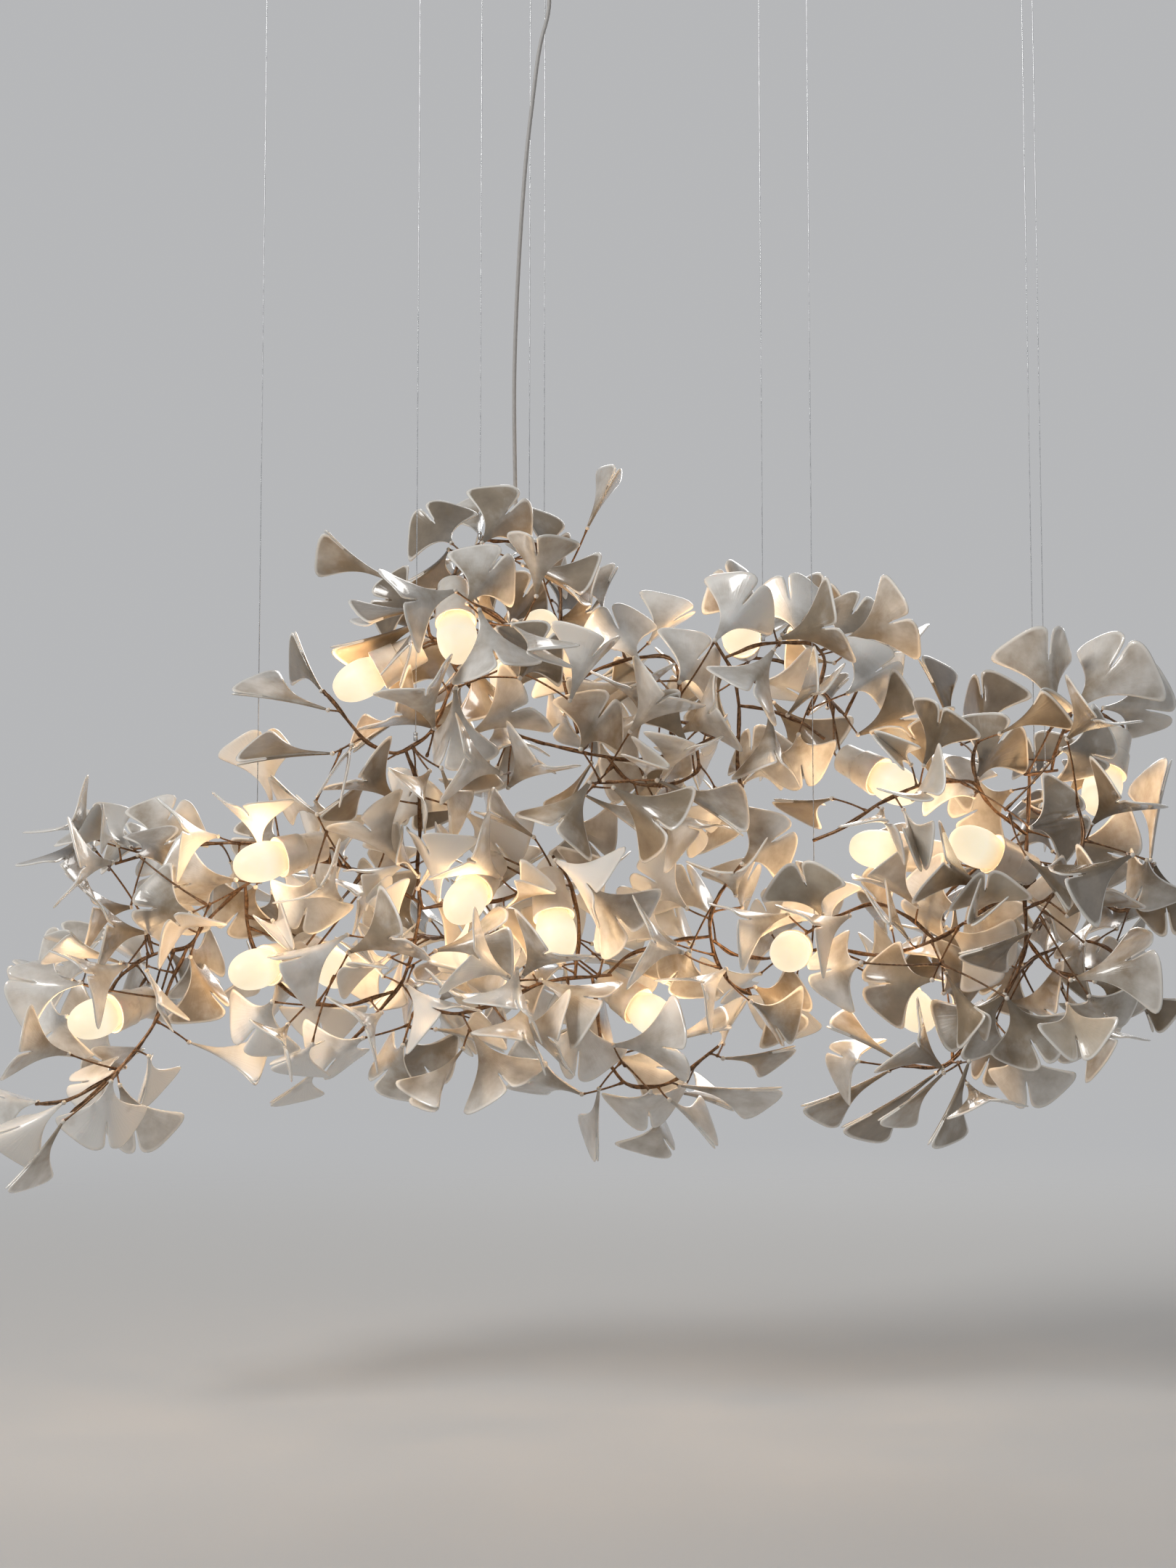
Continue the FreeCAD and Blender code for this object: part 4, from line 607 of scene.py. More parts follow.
def leaf_material(name, stops):
    """Makes glazed porcelain coloured from the stops, which paint shade on the leaves' outsides and
    light on their insides, by a tone that varies at random from leaf to leaf and holds painted shade,
    with faint ribs and rims painted pale as a highlight.
    """
    material, tree, shader = new_material(name, leaf_sockets)
    notes = new_node(tree, "Attribute", {"attribute_name": "notes"})
    parts = new_node(tree, "SeparateXYZ")
    coordinates = new_node(tree, "TexCoord")
    cloud = new_node(tree, "TexNoise", **leaf_clouds)
    tone = new_node(tree, "Math", {"operation": "MULTIPLY_ADD"})
    tone.inputs[1].default_value = leaf_tone_weight
    lift = new_node(tree, "MapRange", **leaf_cloud_tones)
    # The ramp's colours are painted shade on the outside and painted light on the inside, picked by the
    # tone.
    body = colour_ramp(tree, stops)
    # The rim mask lays the painted highlight's pale colour along the leaf's edges.
    rim = colour_ramp(tree, leaf_rim_highlight_stops)
    mix = new_node(tree, "Mix", {"data_type": "RGBA"})
    mix.inputs[mix_second].default_value = (*leaf_rim_highlight_colour, 1.0)
    ribs_place = new_node(tree, "CombineXYZ")
    ribs = new_node(tree, "TexNoise", **leaf_ribs)
    stretch = new_node(tree, "Mapping", Scale=leaf_rib_stretch)
    both = new_node(tree, "Math", {"operation": "ADD"})
    relief = new_node(tree, "Bump", Distance=leaf_bump)
    spread = new_node(tree, "MapRange", **leaf_roughness)
    join(tree, (notes, "Vector", parts, "Vector"), (coordinates, "Object", cloud, "Vector"),
         (cloud, "Fac", both, 0), (parts, "Z", tone, 0), (cloud, "Fac", lift, "Value"),
         (lift, "Result", tone, 2), (tone, "Value", body, "Fac"), (parts, "Y", rim, "Fac"),
         (rim, "Color", mix, "Factor"), (body, "Color", mix, mix_first),
         (mix, mix_result, shader, "Base Color"), (parts, "X", ribs_place, "X"),
         (parts, "Z", ribs_place, "Z"), (ribs_place, "Vector", stretch, "Vector"),
         (stretch, "Vector", ribs, "Vector"), (ribs, "Fac", both, 1),
         (both, "Value", relief, "Height"), (relief, "Normal", shader, "Normal"),
         (cloud, "Fac", spread, "Value"), (spread, "Result", shader, "Roughness"))
    return material


def glowing_glass():
    """Makes frosted glass that glows most round the lamp's middle."""
    material = surface(
        "frosted_glass_glow", (0.34, 0.3, 0.24), (0.4, 0.36, 0.3), grain=120.0, bump=0.0001,
        roughness=(0.42, 0.55), sockets={"Emission Strength": glow_strength})
    tree = material.node_tree
    notes = new_node(tree, "Attribute", {"attribute_name": "notes"})
    parts = new_node(tree, "SeparateXYZ")
    glow = colour_ramp(tree, glow_stops)
    join(tree, (notes, "Vector", parts, "Vector"), (parts, "X", glow, "Fac"),
         (glow, "Color", tree.nodes["Principled BSDF"], "Emission Color"))
    return material


outside_painted_shade_glaze = leaf_material("leaf_porcelain_outside_painted_shade", leaf_outside_painted_shade_stops)
inside_painted_light_glaze = leaf_material("leaf_porcelain_inside_painted_light", leaf_inside_painted_light_stops)
cup_glaze = surface(
    "cup_porcelain_glaze", (0.56, 0.51, 0.45), (0.68, 0.65, 0.6), grain=60.0, bump=0.0003,
    roughness=(0.22, 0.36), sockets=cup_sockets)
bronze = surface(
    "bronze_patina", (0.06, 0.036, 0.022), (0.17, 0.098, 0.055), (0.36, 0.22, 0.125), grain=240.0,
    bump=0.0004, roughness=(0.3, 0.58), places=(0.28, 0.5, 0.75), sockets={"Metallic": 0.85})
steel = surface(
    "brushed_steel", (0.4, 0.41, 0.42), (0.6, 0.61, 0.62), grain=900.0, bump=0.00008,
    roughness=(0.2, 0.36), stretch=(1, 1, 0.12), sockets={"Metallic": 1.0})
brass = surface(
    "cap_brass", (0.52, 0.38, 0.16), (0.66, 0.5, 0.24), grain=700.0, bump=0.00006,
    roughness=(0.22, 0.34), sockets={"Metallic": 1.0})
sheath = surface(
    "cord_sheath_grey", (0.36, 0.35, 0.34), (0.47, 0.46, 0.45), grain=520.0, bump=0.00016,
    roughness=(0.42, 0.6), stretch=(1, 1, 0.35), sockets={"Sheen Weight": 0.2})
socket_plastic = surface(
    "socket_moulding", (0.05, 0.048, 0.045), (0.09, 0.086, 0.08), grain=420.0, bump=0.00012,
    roughness=(0.38, 0.52))
canopy_plastic = surface(
    "canopy_moulding", (0.62, 0.61, 0.59), (0.7, 0.69, 0.67), grain=380.0, bump=0.00012,
    roughness=(0.36, 0.5))
canopy_paint = surface(
    "canopy_paint_white", (0.66, 0.655, 0.64), (0.72, 0.715, 0.7), grain=650.0, bump=0.00014,
    roughness=(0.3, 0.44), sockets={"Coat Weight": 0.15, "Coat Roughness": 0.3})
frosted = glowing_glass()


# Power cord

def sleeve_top():
    """Returns the middle of the sleeve's upper end, where the cord goes in."""
    points = sorted(solids_of("cord_sleeve")[0][0],
                    key=lambda point: (point - place(*cord_route[-1])).length)
    return mean_of(points[:len(points) // 2])


def make_cord():
    """Makes the power cord on one smooth line from its grip to the branch."""
    top = Vector((0, 0, -cord_top_drop))
    route = [top, top - Vector((0, 0, cord_held_length)), top - Vector((0, 0, cord_straight_length))]
    route += [place(*pixel) for pixel in cord_route] + [sleeve_top()]
    line = bpy.data.curves.new("power_cord_line", "CURVE")
    line.dimensions = "3D"
    spline = line.splines.new("NURBS")
    spline.points.add(len(route) - 1)
    for control, point in zip(spline.points, route):
        control.co = (*point, 1.0)
    spline.order_u = 3
    spline.use_endpoint_u = True
    line.bevel_depth = cord_diameter / 2
    line.bevel_resolution = cord_round_steps
    line.use_fill_caps = True
    line.materials.append(sheath)
    piece = put_in_scene("power_cord_sheath", line)
    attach(piece, "frame")
    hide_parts("power_cord")
    return piece, route


cord, cord_points = make_cord()


# Leaves: each is read from its solid and drawn again in full detail

class Leaf:
    """Holds a leaf's base, its directions along and out of its face, its length and its fold."""

    def __init__(self, cluster, base, along, facing, length, fold):
        self.base, self.along, self.facing = base, along, facing
        self.across = along.cross(facing)
        self.length, self.fold = length, fold
        self.curl = chance.uniform(*leaf_curl_shares) * math.cos(fold)
        self.phase = chance.uniform(0, math.tau)
        # A leaf's tone mixes a share that varies at random with its cluster's painted shade.
        self.tone = (leaf_own_tone_share * chance.random()
                     + (1 - leaf_own_tone_share) * cluster_painted_light_shares[cluster])

    def bent(self, x, y):
        """Bends one flat point of the leaf at its midrib, along its length and at its wings."""
        round_share = leaf_ridge_shares[0] * (1 - y) + leaf_ridge_shares[1] * y
        at_wing = math.hypot(cad_wing_across_share, round_share) - round_share
        ridge = (math.hypot(x, round_share) - round_share) * cad_wing_across_share / at_wing
        rise = -ridge * math.sin(self.fold) - leaf_arch_share * 4 * y * (1 - y)
        rise -= self.curl * x * x
        rise += leaf_wave_share * y * y * math.sin(leaf_waves * x + self.phase)
        flat = self.across * (x * math.cos(self.fold)) + self.along * y
        return self.base + (flat + self.facing * rise) * self.length

    def blade(self):
        """Returns the points of the blade's middle surface."""
        return [self.bent(x, y) for x, y, _, _ in flat_leaf]


def read_leaf(cluster, points, links):
    """Returns the leaf that a solid stands for."""
    count = len(points) - 2
    centres = [number for number, link in enumerate(links) if len(link) == count]
    ring = [next(number for number in range(count + 2) if number not in centres)]
    while len(ring) < count:
        ring.append(next(other for other in links[ring[-1]] if other not in centres + ring))
    corners = [points[number] for number in ring]
    slit = min(range(count), key=lambda number: (corners[number - 1]
                                                 - corners[(number + 1) % count]).length)
    corners = corners[slit:] + corners[:slit]
    half = count // 2
    base = corners[half]
    notch = (corners[1] + corners[-1]) / 2
    wings = max(range(1, half), key=lambda number: (corners[number] - corners[-number]).length)
    span = corners[wings] - corners[-wings]
    facing = (points[centres[0]] - points[centres[1]]).normalized()
    if facing.dot(corners[0] - base) > 0:
        facing = -facing
    along = facing.cross(span.normalized())
    if along.dot(notch - base) < 0:
        along = -along
    length = (notch - base).dot(along) / cad_notch_along_share
    cosine = span.length / (2 * cad_wing_across_share * length)
    return Leaf(cluster, base, along, facing, length, math.acos(min(1.0, cosine)))


def leaf_template():
    """Returns the flat leaf: its points as (across, along, fan, edge) and its faces."""
    side = smooth_line(leaf_side_shares, outline_steps)
    edge = smooth_line(leaf_edge_shares, outline_steps)
    slit = smooth_line(leaf_slit_shares, outline_steps)
    numbers, points, faces = {}, [], []

    def inner(row):
        """Returns the point of the midrib or the slit's edge at a row."""
        if row <= leaf_slit_row:
            return 0.0, leaf_slit_shares[0][1] * row / leaf_slit_row
        return at_share(slit, (row - leaf_slit_row) / (leaf_rows - leaf_slit_row))

    for sign in (1, -1):
        for row in range(leaf_rows + 1):
            t = row / leaf_rows
            for column in range(leaf_columns + 1):
                s = column / leaf_columns
                key = (0 if column == 0 and row <= leaf_slit_row else sign, row, column)
                if key in numbers:
                    continue
                low = [s * leaf_side_shares[0][0], 0.0]
                sides = zip(inner(row), at_share(side, t), low, at_share(edge, s), inner(0),
                            leaf_side_shares[0], inner(leaf_rows), leaf_side_shares[-1])
                x, y = [(1 - s) * rib + s * rim + (1 - t) * foot + t * top
                        - (1 - s) * (1 - t) * foot_rib - s * (1 - t) * foot_rim
                        - (1 - s) * t * top_rib - s * t * top_rim
                        for rib, rim, foot, top, foot_rib, foot_rim, top_rib, top_rim in sides]
                nearest = max(s, t, 1 - s if row > leaf_slit_row else 0.0)
                numbers[key] = len(points)
                points.append((sign * x, y, sign * s, nearest))
        for row in range(leaf_rows):
            for column in range(leaf_columns):
                corners = [(row, column), (row, column + 1), (row + 1, column + 1), (row + 1, column)]
                face = [numbers[(0 if c == 0 and r <= leaf_slit_row else sign, r, c)]
                        for r, c in corners]
                faces.append(face if sign > 0 else face[::-1])
    return points, faces


flat_leaf, leaf_faces = leaf_template()
clusters = [node[:-len("_leaves")] for node in frame["nodes"] if node.endswith("_leaves")]
leaves = {cluster: [read_leaf(cluster, *solid) for solid in solids_of(cluster + "_leaves")]
          for cluster in clusters}
all_leaves = sum(leaves.values(), [])


def make_leaves(name, group, nodes):
    """Makes the blades of a group of leaves, with rounded rims."""
    shape = Shape()
    for leaf in group:
        # The third note is the leaf's tone with its cluster's painted shade, and more painted shade
        # that darkens it towards the leaf's base.
        own_tone_and_painted_shade = leaf_tone_share * leaf.tone
        notes = [(fan, nearest, own_tone_and_painted_shade + (1 - leaf_tone_share) * y)
                 for _, y, fan, nearest in flat_leaf]
        shape.add(leaf.blade(), leaf_faces, notes)
    # The outside takes the painted-shade glaze and the inside the painted-light glaze.
    piece = shape.make(name, outside_painted_shade_glaze, "leaf_porcelain", nodes=nodes)
    piece.data.materials.append(inside_painted_light_glaze)
    solidify = piece.modifiers.new("thickness", "SOLIDIFY")
    solidify.thickness = leaf_thickness
    solidify.offset = 0
    solidify.material_offset = 1
    rounding = piece.modifiers.new("rounding", "SUBSURF")
    rounding.render_levels = 1


for cluster in clusters:
    make_leaves(cluster + "_leaf_blades", leaves[cluster], [cluster + "_leaves"])


# Branches, twigs and stems

branch_lines = {cluster: [rounded(rod_line(*solid)) for solid in solids_of(cluster + "_branches")]
                for cluster in clusters}
twig_lines = {cluster: [rod_line(*solid) for solid in solids_of(cluster + "_twigs")]
              for cluster in clusters}
all_branches = sum(branch_lines.values(), [])
all_twigs = sum(twig_lines.values(), [])


def tree_of(points):
    """Returns a search tree of some points."""
    tree = KDTree(len(points))
    for number, point in enumerate(points):
        tree.insert(point, number)
    tree.balance()
    return tree


rods = [divided(line, rod_diameter) for line in all_branches + all_twigs]
rod_owners = [number for number, line in enumerate(rods) for _ in line]
rod_tree = tree_of([point for line in rods for point in line])


def foot_on_rod(point, own):
    """Returns the nearest point of another rod's line, or the point itself."""
    for spot, index, distance in rod_tree.find_n(point, joint_search_count):
        if rod_owners[index] != own and distance < joint_reach:
            return spot.copy()
    return point


def strand_line(path):
    """Returns the line of a thin strand that winds slowly round a branch."""
    start_angle = chance.uniform(0, math.tau)
    line = []
    spans = [(end - start).length for start, end in zip(path, path[1:])]
    distances = list(accumulate(spans, initial=0.0))
    for (centre, side, up), distance in zip(frames_along(path), distances):
        angle = start_angle + math.tau * distance / strand_turn_length
        inward = min(distance, distances[-1] - distance) / (2 * rod_step)
        reach = strand_reach * min(1.0, inward)
        line.append(centre + (side * math.cos(angle) + up * math.sin(angle)) * reach)
    return line


def make_branches():
    """Makes each cluster's branches, a little uneven, with a strand wound round each."""
    for cluster in clusters:
        shape = Shape()
        for branch in branch_lines[cluster]:
            own = all_branches.index(branch)
            line = [foot_on_rod(branch[0], own), *branch, foot_on_rod(branch[-1], own)]
            line = [point for number, point in enumerate(line)
                    if number == 0 or (point - line[number - 1]).length > weld_distance]
            radii = [rod_diameter / 2 * (1 + chance.uniform(-rod_wander_share, rod_wander_share))
                     for _ in line]
            shape.add(*swept(line, radii, rod_sides))
            strand = strand_line(line)
            shape.add(*swept(strand, [strand_diameter / 2] * len(strand), strand_sides))
        shape.make(cluster + "_branch_rods", bronze, "bronze", nodes=[cluster + "_branches"])


def add_twig(shape, beads, foot, leaf):
    """Adds a twig with a collar at its foot, and the bead where its leaf sits."""
    span = leaf.base - foot
    sideways = span.orthogonal().normalized() * (span.length * twig_bow_share)
    path = [foot + span * share + sideways * (4 * share * (1 - share))
            for share in twig_length_shares]
    radii = [twig_diameter / 2 * share for share in twig_radius_shares]
    shape.add(*swept(path, radii, twig_sides))
    radius = bead_diameter / 2
    turns = [math.pi * row / bead_rows for row in range(1, bead_rows)]
    profile = [(-radius * math.cos(turn), radius * math.sin(turn)) for turn in turns]
    beads.add(*turned(leaf.base, leaf.along, profile, bead_sides))


def make_twigs():
    """Makes the twigs, each with its leaf's bead."""
    bases = tree_of([leaf.base for leaf in all_leaves])
    for cluster in clusters:
        shape, beads = Shape(), Shape()
        for line in twig_lines[cluster]:
            own = len(all_branches) + all_twigs.index(line)
            tip, foot = sorted((line[0], line[-1]), key=lambda end: bases.find(end)[2])
            add_twig(shape, beads, foot_on_rod(foot, own), all_leaves[bases.find(tip)[1]])
        shape.make(cluster + "_twig_rods", bronze, "bronze", nodes=[cluster + "_twigs"])
        beads.make(cluster + "_leaf_beads", cup_glaze, "leaf_porcelain")


def make_stems():
    """Makes the lamps' paired stems, from the branch to inside the back of the cup."""
    shape = Shape()
    for solid in solids_of("lamp_stems"):
        ends = [lamp.mouth + lamp.axis * cup_outside[0][0] for lamp in lamps]
        line = rod_line(*solid)
        line = min(line, line[::-1], key=lambda way: min((way[-1] - end).length for end in ends))
        foot = foot_on_rod(line[0], -1)
        deep = line[-1] + (line[-1] - line[-2]).normalized() * stem_diameter
        path = rounded([foot] + line[1:-1] + [deep])
        radii = [stem_diameter / 2] * len(path)
        for number, share in enumerate(stem_foot_shares):
            radii[number] *= share
        shape.add(*swept(path, radii, rod_sides))
    shape.make("lamp_stem_rods", bronze, "bronze", nodes=["lamp_stems"])


# Lamps

class Lamp:
    """Holds a lamp's mouth and axis, read from its bulb and joint."""

    def __init__(self, joint):
        self.body = joint["child"]
        self.axis = Vector(joint["axis"]).normalized()
        points = solids_of(self.body)[0][0]
        lowest = min(point.dot(self.axis) for point in points)
        back = mean_of([point for point in points if point.dot(self.axis) < lowest + small_bevel])
        self.mouth = back - self.axis * cap_start
        self.middle = self.mouth + self.axis * (glass_tip / 2)


lamps = [Lamp(joint) for joint in frame["joints"] if joint["child"].startswith("bulb_")]


def make_lamps():
    """Makes the cups, sockets and bulbs, with a warm light in each bulb."""
    cups, inserts = Shape(), Shape()
    for lamp in lamps:
        profile = smooth_line(cup_outside, cup_outside_steps)
        profile += smooth_line(cup_inside, cup_inside_steps)
        cups.add(*turned(lamp.mouth, lamp.axis, profile, lamp_sides, True))
        inserts.add(*turned(lamp.mouth, lamp.axis, insert_profile, lamp_sides))
        glass, cap = Shape(), Shape()
        profile = smooth_line(glass_profile, glass_steps) + [(glass_tip, glass_tip_radius)]
        span = profile[-1][0] - profile[0][0]
        notes = [((along - profile[0][0]) / span, 0.0, 0.0) for along, _ in profile
                 for _ in range(lamp_sides)]
        glass.add(*turned(lamp.mouth, lamp.axis, profile, lamp_sides), notes)
        bulb = glass.make(lamp.body + "_glass", frosted, "frosted_bulb", lamp.body, [lamp.body])
        bulb.visible_shadow = False
        cap.add(*turned(lamp.mouth, lamp.axis, cap_profile, lamp_sides))
        cap.make(lamp.body + "_cap", brass, "steel", lamp.body)
        glow = put_light(lamp.body + "_light", "POINT", glow_light_power, glow_light_colour)
        glow.data.shadow_soft_size = glow_light_radius
        glow.location = lamp.middle
        glow.parent = bulb
    cups.make("lamp_cup_shells", cup_glaze, "cup_porcelain", nodes=["lamp_cups"])
    bevelled(inserts.make("socket_insert_shells", socket_plastic, "socket_plastic",
                          nodes=["socket_inserts"]))


make_branches()
make_twigs()
make_stems()
make_lamps()


# More leaves, where the view is denser than the solids can be

class Room:
    """Holds the surfaces that another leaf or twig stays clear of."""

    def __init__(self):
        self.blades = [BVHTree.FromPolygons(leaf.blade(), leaf_faces) for leaf in all_leaves]
        rods = Shape()
        for node, piece in frame["nodes"].items():
            if not node.endswith("_leaves") and not node.startswith("bulb_"):
                rods.add([vertex.co.copy() for vertex in piece.data.vertices],
                         [face.vertices for face in piece.data.polygons])
        self.rods = [BVHTree.FromPolygons(rods.points, rods.faces)]
        for lamp in lamps:
            profile = [(along, lamp_room_radius) for along in lamp_room_ends]
            space = turned(lamp.mouth, lamp.axis, profile, lamp_room_sides)
            self.rods.append(BVHTree.FromPolygons(*space))

    def take(self, seat, leaf, tree):
        """Adds a leaf that has found room, with its twig."""
        self.blades.append(tree)
        path = [seat.lerp(leaf.base, share) for share in twig_length_shares]
        twig = swept(path, [twig_diameter / 2] * len(path), strand_sides)
        self.rods.append(BVHTree.FromPolygons(*twig))

    def blocks(self, points, tree=None):
        """Tells whether some points, or the faces that join them, are too near to something."""
        for trees, gap in ((self.rods, rod_gap), (self.blades, leaf_gap)):
            for other in trees:
                if any(other.find_nearest(point, gap)[0] is not None for point in points):
                    return True
                if tree and tree.overlap(other):
                    return True
        return False

    def inside_lamp(self, point):
        """Tells whether a point lies in a lamp's space or in its bulb's way out."""
        for lamp in lamps:
            along = (point - lamp.mouth).dot(lamp.axis)
            aside = (point - lamp.mouth - lamp.axis * along).length
            if lamp_room_ends[0] < along < lamp_room_ends[1] and aside < lamp_room_radius:
                return True
        return False


def hides_bulb(tree):
    """Tells whether a leaf stands before a bulb in the view."""
    aims = [lamp.middle - viewpoint for lamp in lamps]
    return any(tree.ray_cast(viewpoint, aim.normalized(), aim.length)[0] for aim in aims)


def draw_leaf(cluster, seat, rod):
    """Returns a leaf drawn by chance on a twig from a seat on a branch."""
    side = rod.orthogonal().normalized()
    outward = Matrix.Rotation(chance.uniform(0, math.tau), 3, rod) @ side
    base = seat + outward * chance.uniform(*more_stand_offs)
    wander = Vector([chance.uniform(-1, 1) for _ in range(3)])
    along = (outward + wander * more_wander_share).normalized()
    facing = viewpoint - base
    facing = (facing - along * facing.dot(along)).normalized() * chance.choice((1, -1))
    turn = math.radians(chance.uniform(*more_turns_degrees))
    narrow = chance.random() < more_narrow_share
    fold = chance.uniform(*(more_narrow_folds_degrees if narrow else more_folds_degrees))
    return Leaf(cluster, base, along, Matrix.Rotation(turn, 3, along) @ facing,
                more_leaf_length * chance.uniform(*more_length_shares), math.radians(fold))


def fits(room, seat, leaf, centre, reach):
    """Returns the leaf's surface if it and its twig are clear of the rest, or nothing."""
    middle = pixel_of(leaf.base + leaf.along * (leaf.length / 2))
    if math.dist(middle, centre) > reach:
        return None
    if any(math.dist(middle, (u, v)) < radius for u, v, radius in open_places):
        return None
    span = leaf.base - seat
    start = seat_gap / span.length
    steps = math.ceil(span.length / twig_diameter)
    twig = [seat + span * (start + (1 - start) * step / steps) for step in range(steps + 1)]
    points = leaf.blade()
    low, high = cad_box
    if not all(low[axis] < point[axis] < high[axis] for point in points for axis in range(3)):
        return None
    if any(room.inside_lamp(point) for point in twig + points) or room.blocks(twig):
        return None
    tree = BVHTree.FromPolygons(points, leaf_faces)
    if room.blocks(points[::first_test_step], tree) or room.blocks(points, tree) or hides_bulb(tree):
        return None
    return tree


def make_more_leaves():
    """Makes the leaves and twigs that find room in the dense places of the view."""
    room = Room()
    more = {cluster: ([], Shape(), Shape()) for cluster in clusters}
    seats = [(cluster, point, (after - point).normalized()) for cluster in clusters
             for line in branch_lines[cluster] for point, after in zip(line, line[1:])]
    seats.sort(key=lambda seat: seat[1].x)
    for number, (u, v, reach, wanted) in enumerate(dense_places):
        chance.seed(number)
        near = [seat for seat in seats
                if math.dist(pixel_of(seat[1]), (u, v)) < reach + more_reach_pixels]
        found = 0
        for _ in range(wanted * more_tries_each if near else 0):
            if found == wanted:
                break
            cluster, seat, rod = chance.choice(near)
            leaf = draw_leaf(cluster, seat, rod)
            tree = fits(room, seat, leaf, (u, v), reach)
            if tree:
                group, twigs, beads = more[cluster]
                room.take(seat, leaf, tree)
                add_twig(twigs, beads, seat, leaf)
                group.append(leaf)
                found += 1
    for cluster, (group, twigs, beads) in more.items():
        if group:
            make_leaves(cluster + "_more_leaf_blades", group, [])
            twigs.make(cluster + "_more_twig_rods", bronze, "bronze")
            beads.make(cluster + "_more_leaf_beads", cup_glaze, "leaf_porcelain")


make_more_leaves()


# Suspension

def make_fittings(node, name, profile, sides=fitting_sides):
    """Makes a row of turned steel fittings, each from its own solid's top end."""
    shape = Shape()
    for points, _ in solids_of(node):
        top = mean_of(points)
        top.z = max(point.z for point in points)
        shape.add(*turned(top, Vector((0, 0, -1)), profile, sides))
    bevelled(shape.make(name, steel, "steel", nodes=[node]))


def make_wires():
    """Makes the laid steel wires, with grooves that turn round them."""
    shape, over = Shape(), Vector((0, 0, wire_diameter))
    for points, _ in solids_of("suspension_wires"):
        middle = mean_of(points).z
        top = mean_of([point for point in points if point.z > middle]) + over
        bottom = mean_of([point for point in points if point.z < middle]) - over
        count = math.ceil((top - bottom).length / wire_step)
        rings = []
        for row in range(count + 1):
            centre = top.lerp(bottom, row / count)
            turn = math.tau * row * wire_step / wire_turn_length
            for number in range(2 * wire_sides):
                angle = turn + math.pi * number / wire_sides
                radius = wire_diameter / 2 * (wire_groove_share if number % 2 else 1)
                rings.append(centre + Vector((math.cos(angle), math.sin(angle), 0)) * radius)
        shape.add(rings, ring_faces(2 * wire_sides, count + 1, False))
    shape.make("suspension_wire_strands", steel, "steel", nodes=["suspension_wires"])


make_fittings("ceiling_anchors", "ceiling_anchor_turnings", anchor_profile)
make_fittings("wire_grippers", "wire_gripper_turnings", gripper_profile)
make_fittings("wire_ferrules", "wire_ferrule_turnings", ferrule_profile)
make_fittings("bracket_screws", "bracket_screw_heads", screw_profile, lamp_sides)
make_wires()


# Canopy

def make_canopy():
    """Makes the canopy's pieces, and the cord's grip and sleeve, which it returns."""
    up = Vector((0, 0, 1))
    cover, collar, grip, sleeve = Shape(), Shape(), Shape(), Shape()
    cover.add(*turned(Vector(), up, cover_profile, canopy_sides, True))
    cover.make("canopy_cover_shell", canopy_paint, "canopy_paint", "canopy_cover", ["canopy_cover"])
    collar.add(*turned(Vector(), up, collar_profile, lamp_sides, True))
    collar.make("cord_collar_ring", canopy_plastic, "canopy_plastic", "canopy_cover", ["cord_collar"])
    grip.add(*turned(Vector(), up, grip_profile, lamp_sides))
    points = solids_of("cord_sleeve")[0][0]
    bottom = mean_of(points) * 2 - sleeve_top()
    span = sleeve_top() - bottom
    radius = max((point - bottom - span * ((point - bottom).dot(span) / span.length_squared)).length
                 for point in points)
    profile = [(span.length * along, radius * across) for along, across in sleeve_shares]
    sleeve.add(*turned(bottom, span.normalized(), profile, lamp_sides))
    for node, material in (("canopy_bracket", steel), ("terminal_block", socket_plastic)):
        slots = frame["nodes"][node].data.materials
        slots.clear()
        slots.append(material)
    return [grip.make("cord_grip_body", canopy_plastic, "canopy_plastic", nodes=["cord_grip"]),
            sleeve.make("cord_sleeve_ferrule", bronze, "bronze", nodes=["cord_sleeve"])]


cord_fittings = make_canopy()


# Stage: pale floor, world and soft lights

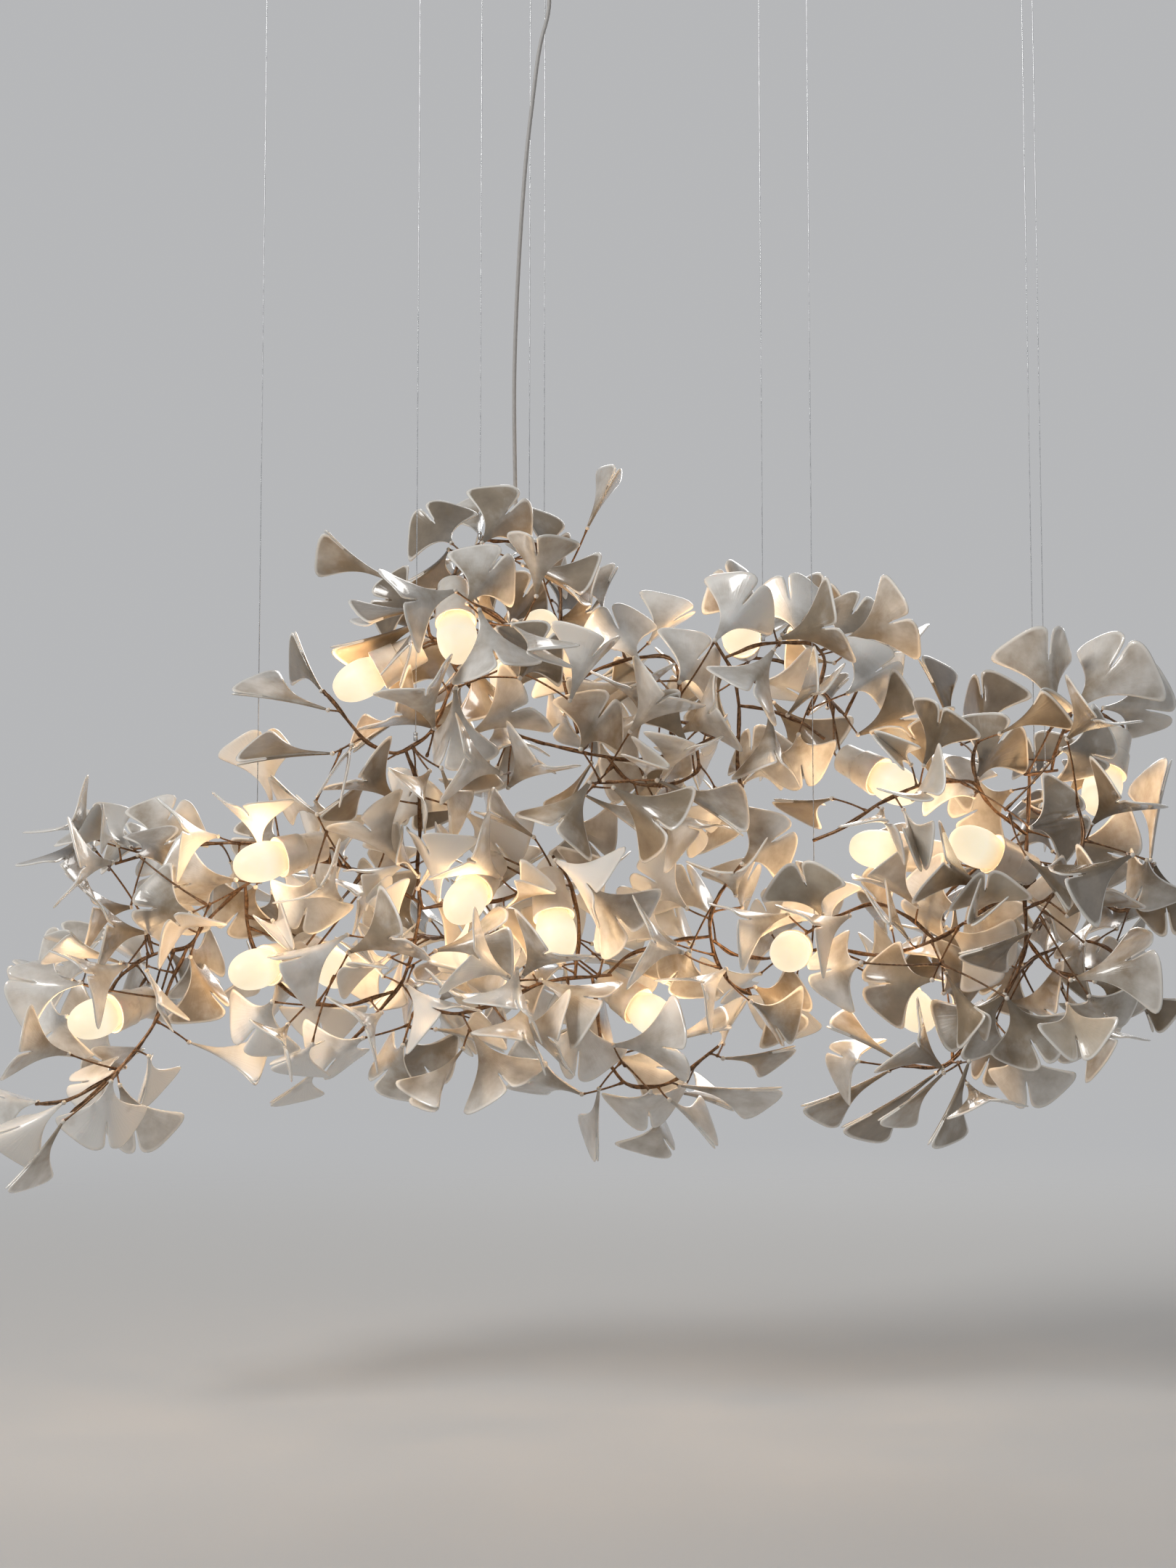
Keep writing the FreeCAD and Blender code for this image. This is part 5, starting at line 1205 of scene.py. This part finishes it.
def make_floor():
    """Makes the pale floor, which fades into the background at its far edge."""
    colour = {"Base Color": (*floor_colour, 1.0), "Roughness": floor_roughness,
              "Specular IOR Level": floor_gloss}
    material, tree, shader = new_material("floor_pale", colour)
    coordinates = new_node(tree, "TexCoord")
    distance = new_node(tree, "VectorMath", {"operation": "LENGTH"})
    fade = new_node(tree, "MapRange", {"interpolation_type": "SMOOTHERSTEP"}, To_Min=1.0, To_Max=0.0,
                    From_Min=floor_fade[0], From_Max=floor_fade[1])
    join(tree, (coordinates, "Object", distance, 0), (distance, "Value", fade, "Value"),
         (fade, "Result", shader, "Alpha"))
    half = floor_half_width
    mesh = bpy.data.meshes.new("floor")
    mesh.from_pydata([(-half, -half, 0), (half, -half, 0), (half, half, 0), (-half, half, 0)], [],
                     [(0, 1, 2, 3)])
    mesh.materials.append(material)
    floor = put_in_scene("floor", mesh)
    floor.location = (0, 0, cad_box[0].z - floor_gap)


def make_world():
    """Makes the pale background, which lights the object evenly."""
    world = bpy.data.worlds.new("pale_room")
    world.use_nodes = True
    tree = world.node_tree
    light = tree.nodes["Background"]
    light.inputs["Color"].default_value = (*world_colour, 1.0)
    light.inputs["Strength"].default_value = world_strength
    seen = new_node(tree, "Background", Color=(*stage_colour, 1.0))
    rays = new_node(tree, "LightPath")
    glossy, either = [new_node(tree, "Math", {"operation": "MAXIMUM"}) for _ in range(2)]
    mix = new_node(tree, "MixShader")
    join(tree, (rays, "Is Camera Ray", glossy, 0), (rays, "Is Glossy Ray", glossy, 1),
         (glossy, "Value", either, 0), (rays, "Is Transmission Ray", either, 1),
         (either, "Value", mix, "Fac"), (light, "Background", mix, 1),
         (seen, "Background", mix, 2), (mix, "Shader", tree.nodes["World Output"], "Surface"))
    bpy.context.scene.world = world


def make_lights():
    """Makes the soft lights, each aimed at the middle of the object."""
    for name, spot, size, power, colour in stage_lights:
        panel = put_light(name, "AREA", power, colour)
        panel.data.size = size
        panel.location = spot
        aim = Vector(stage_target) - panel.location
        panel.rotation_euler = aim.to_track_quat("-Z", "Y").to_euler()


make_floor()
make_world()
make_lights()
bpy.context.scene.view_settings.view_transform = "Standard"
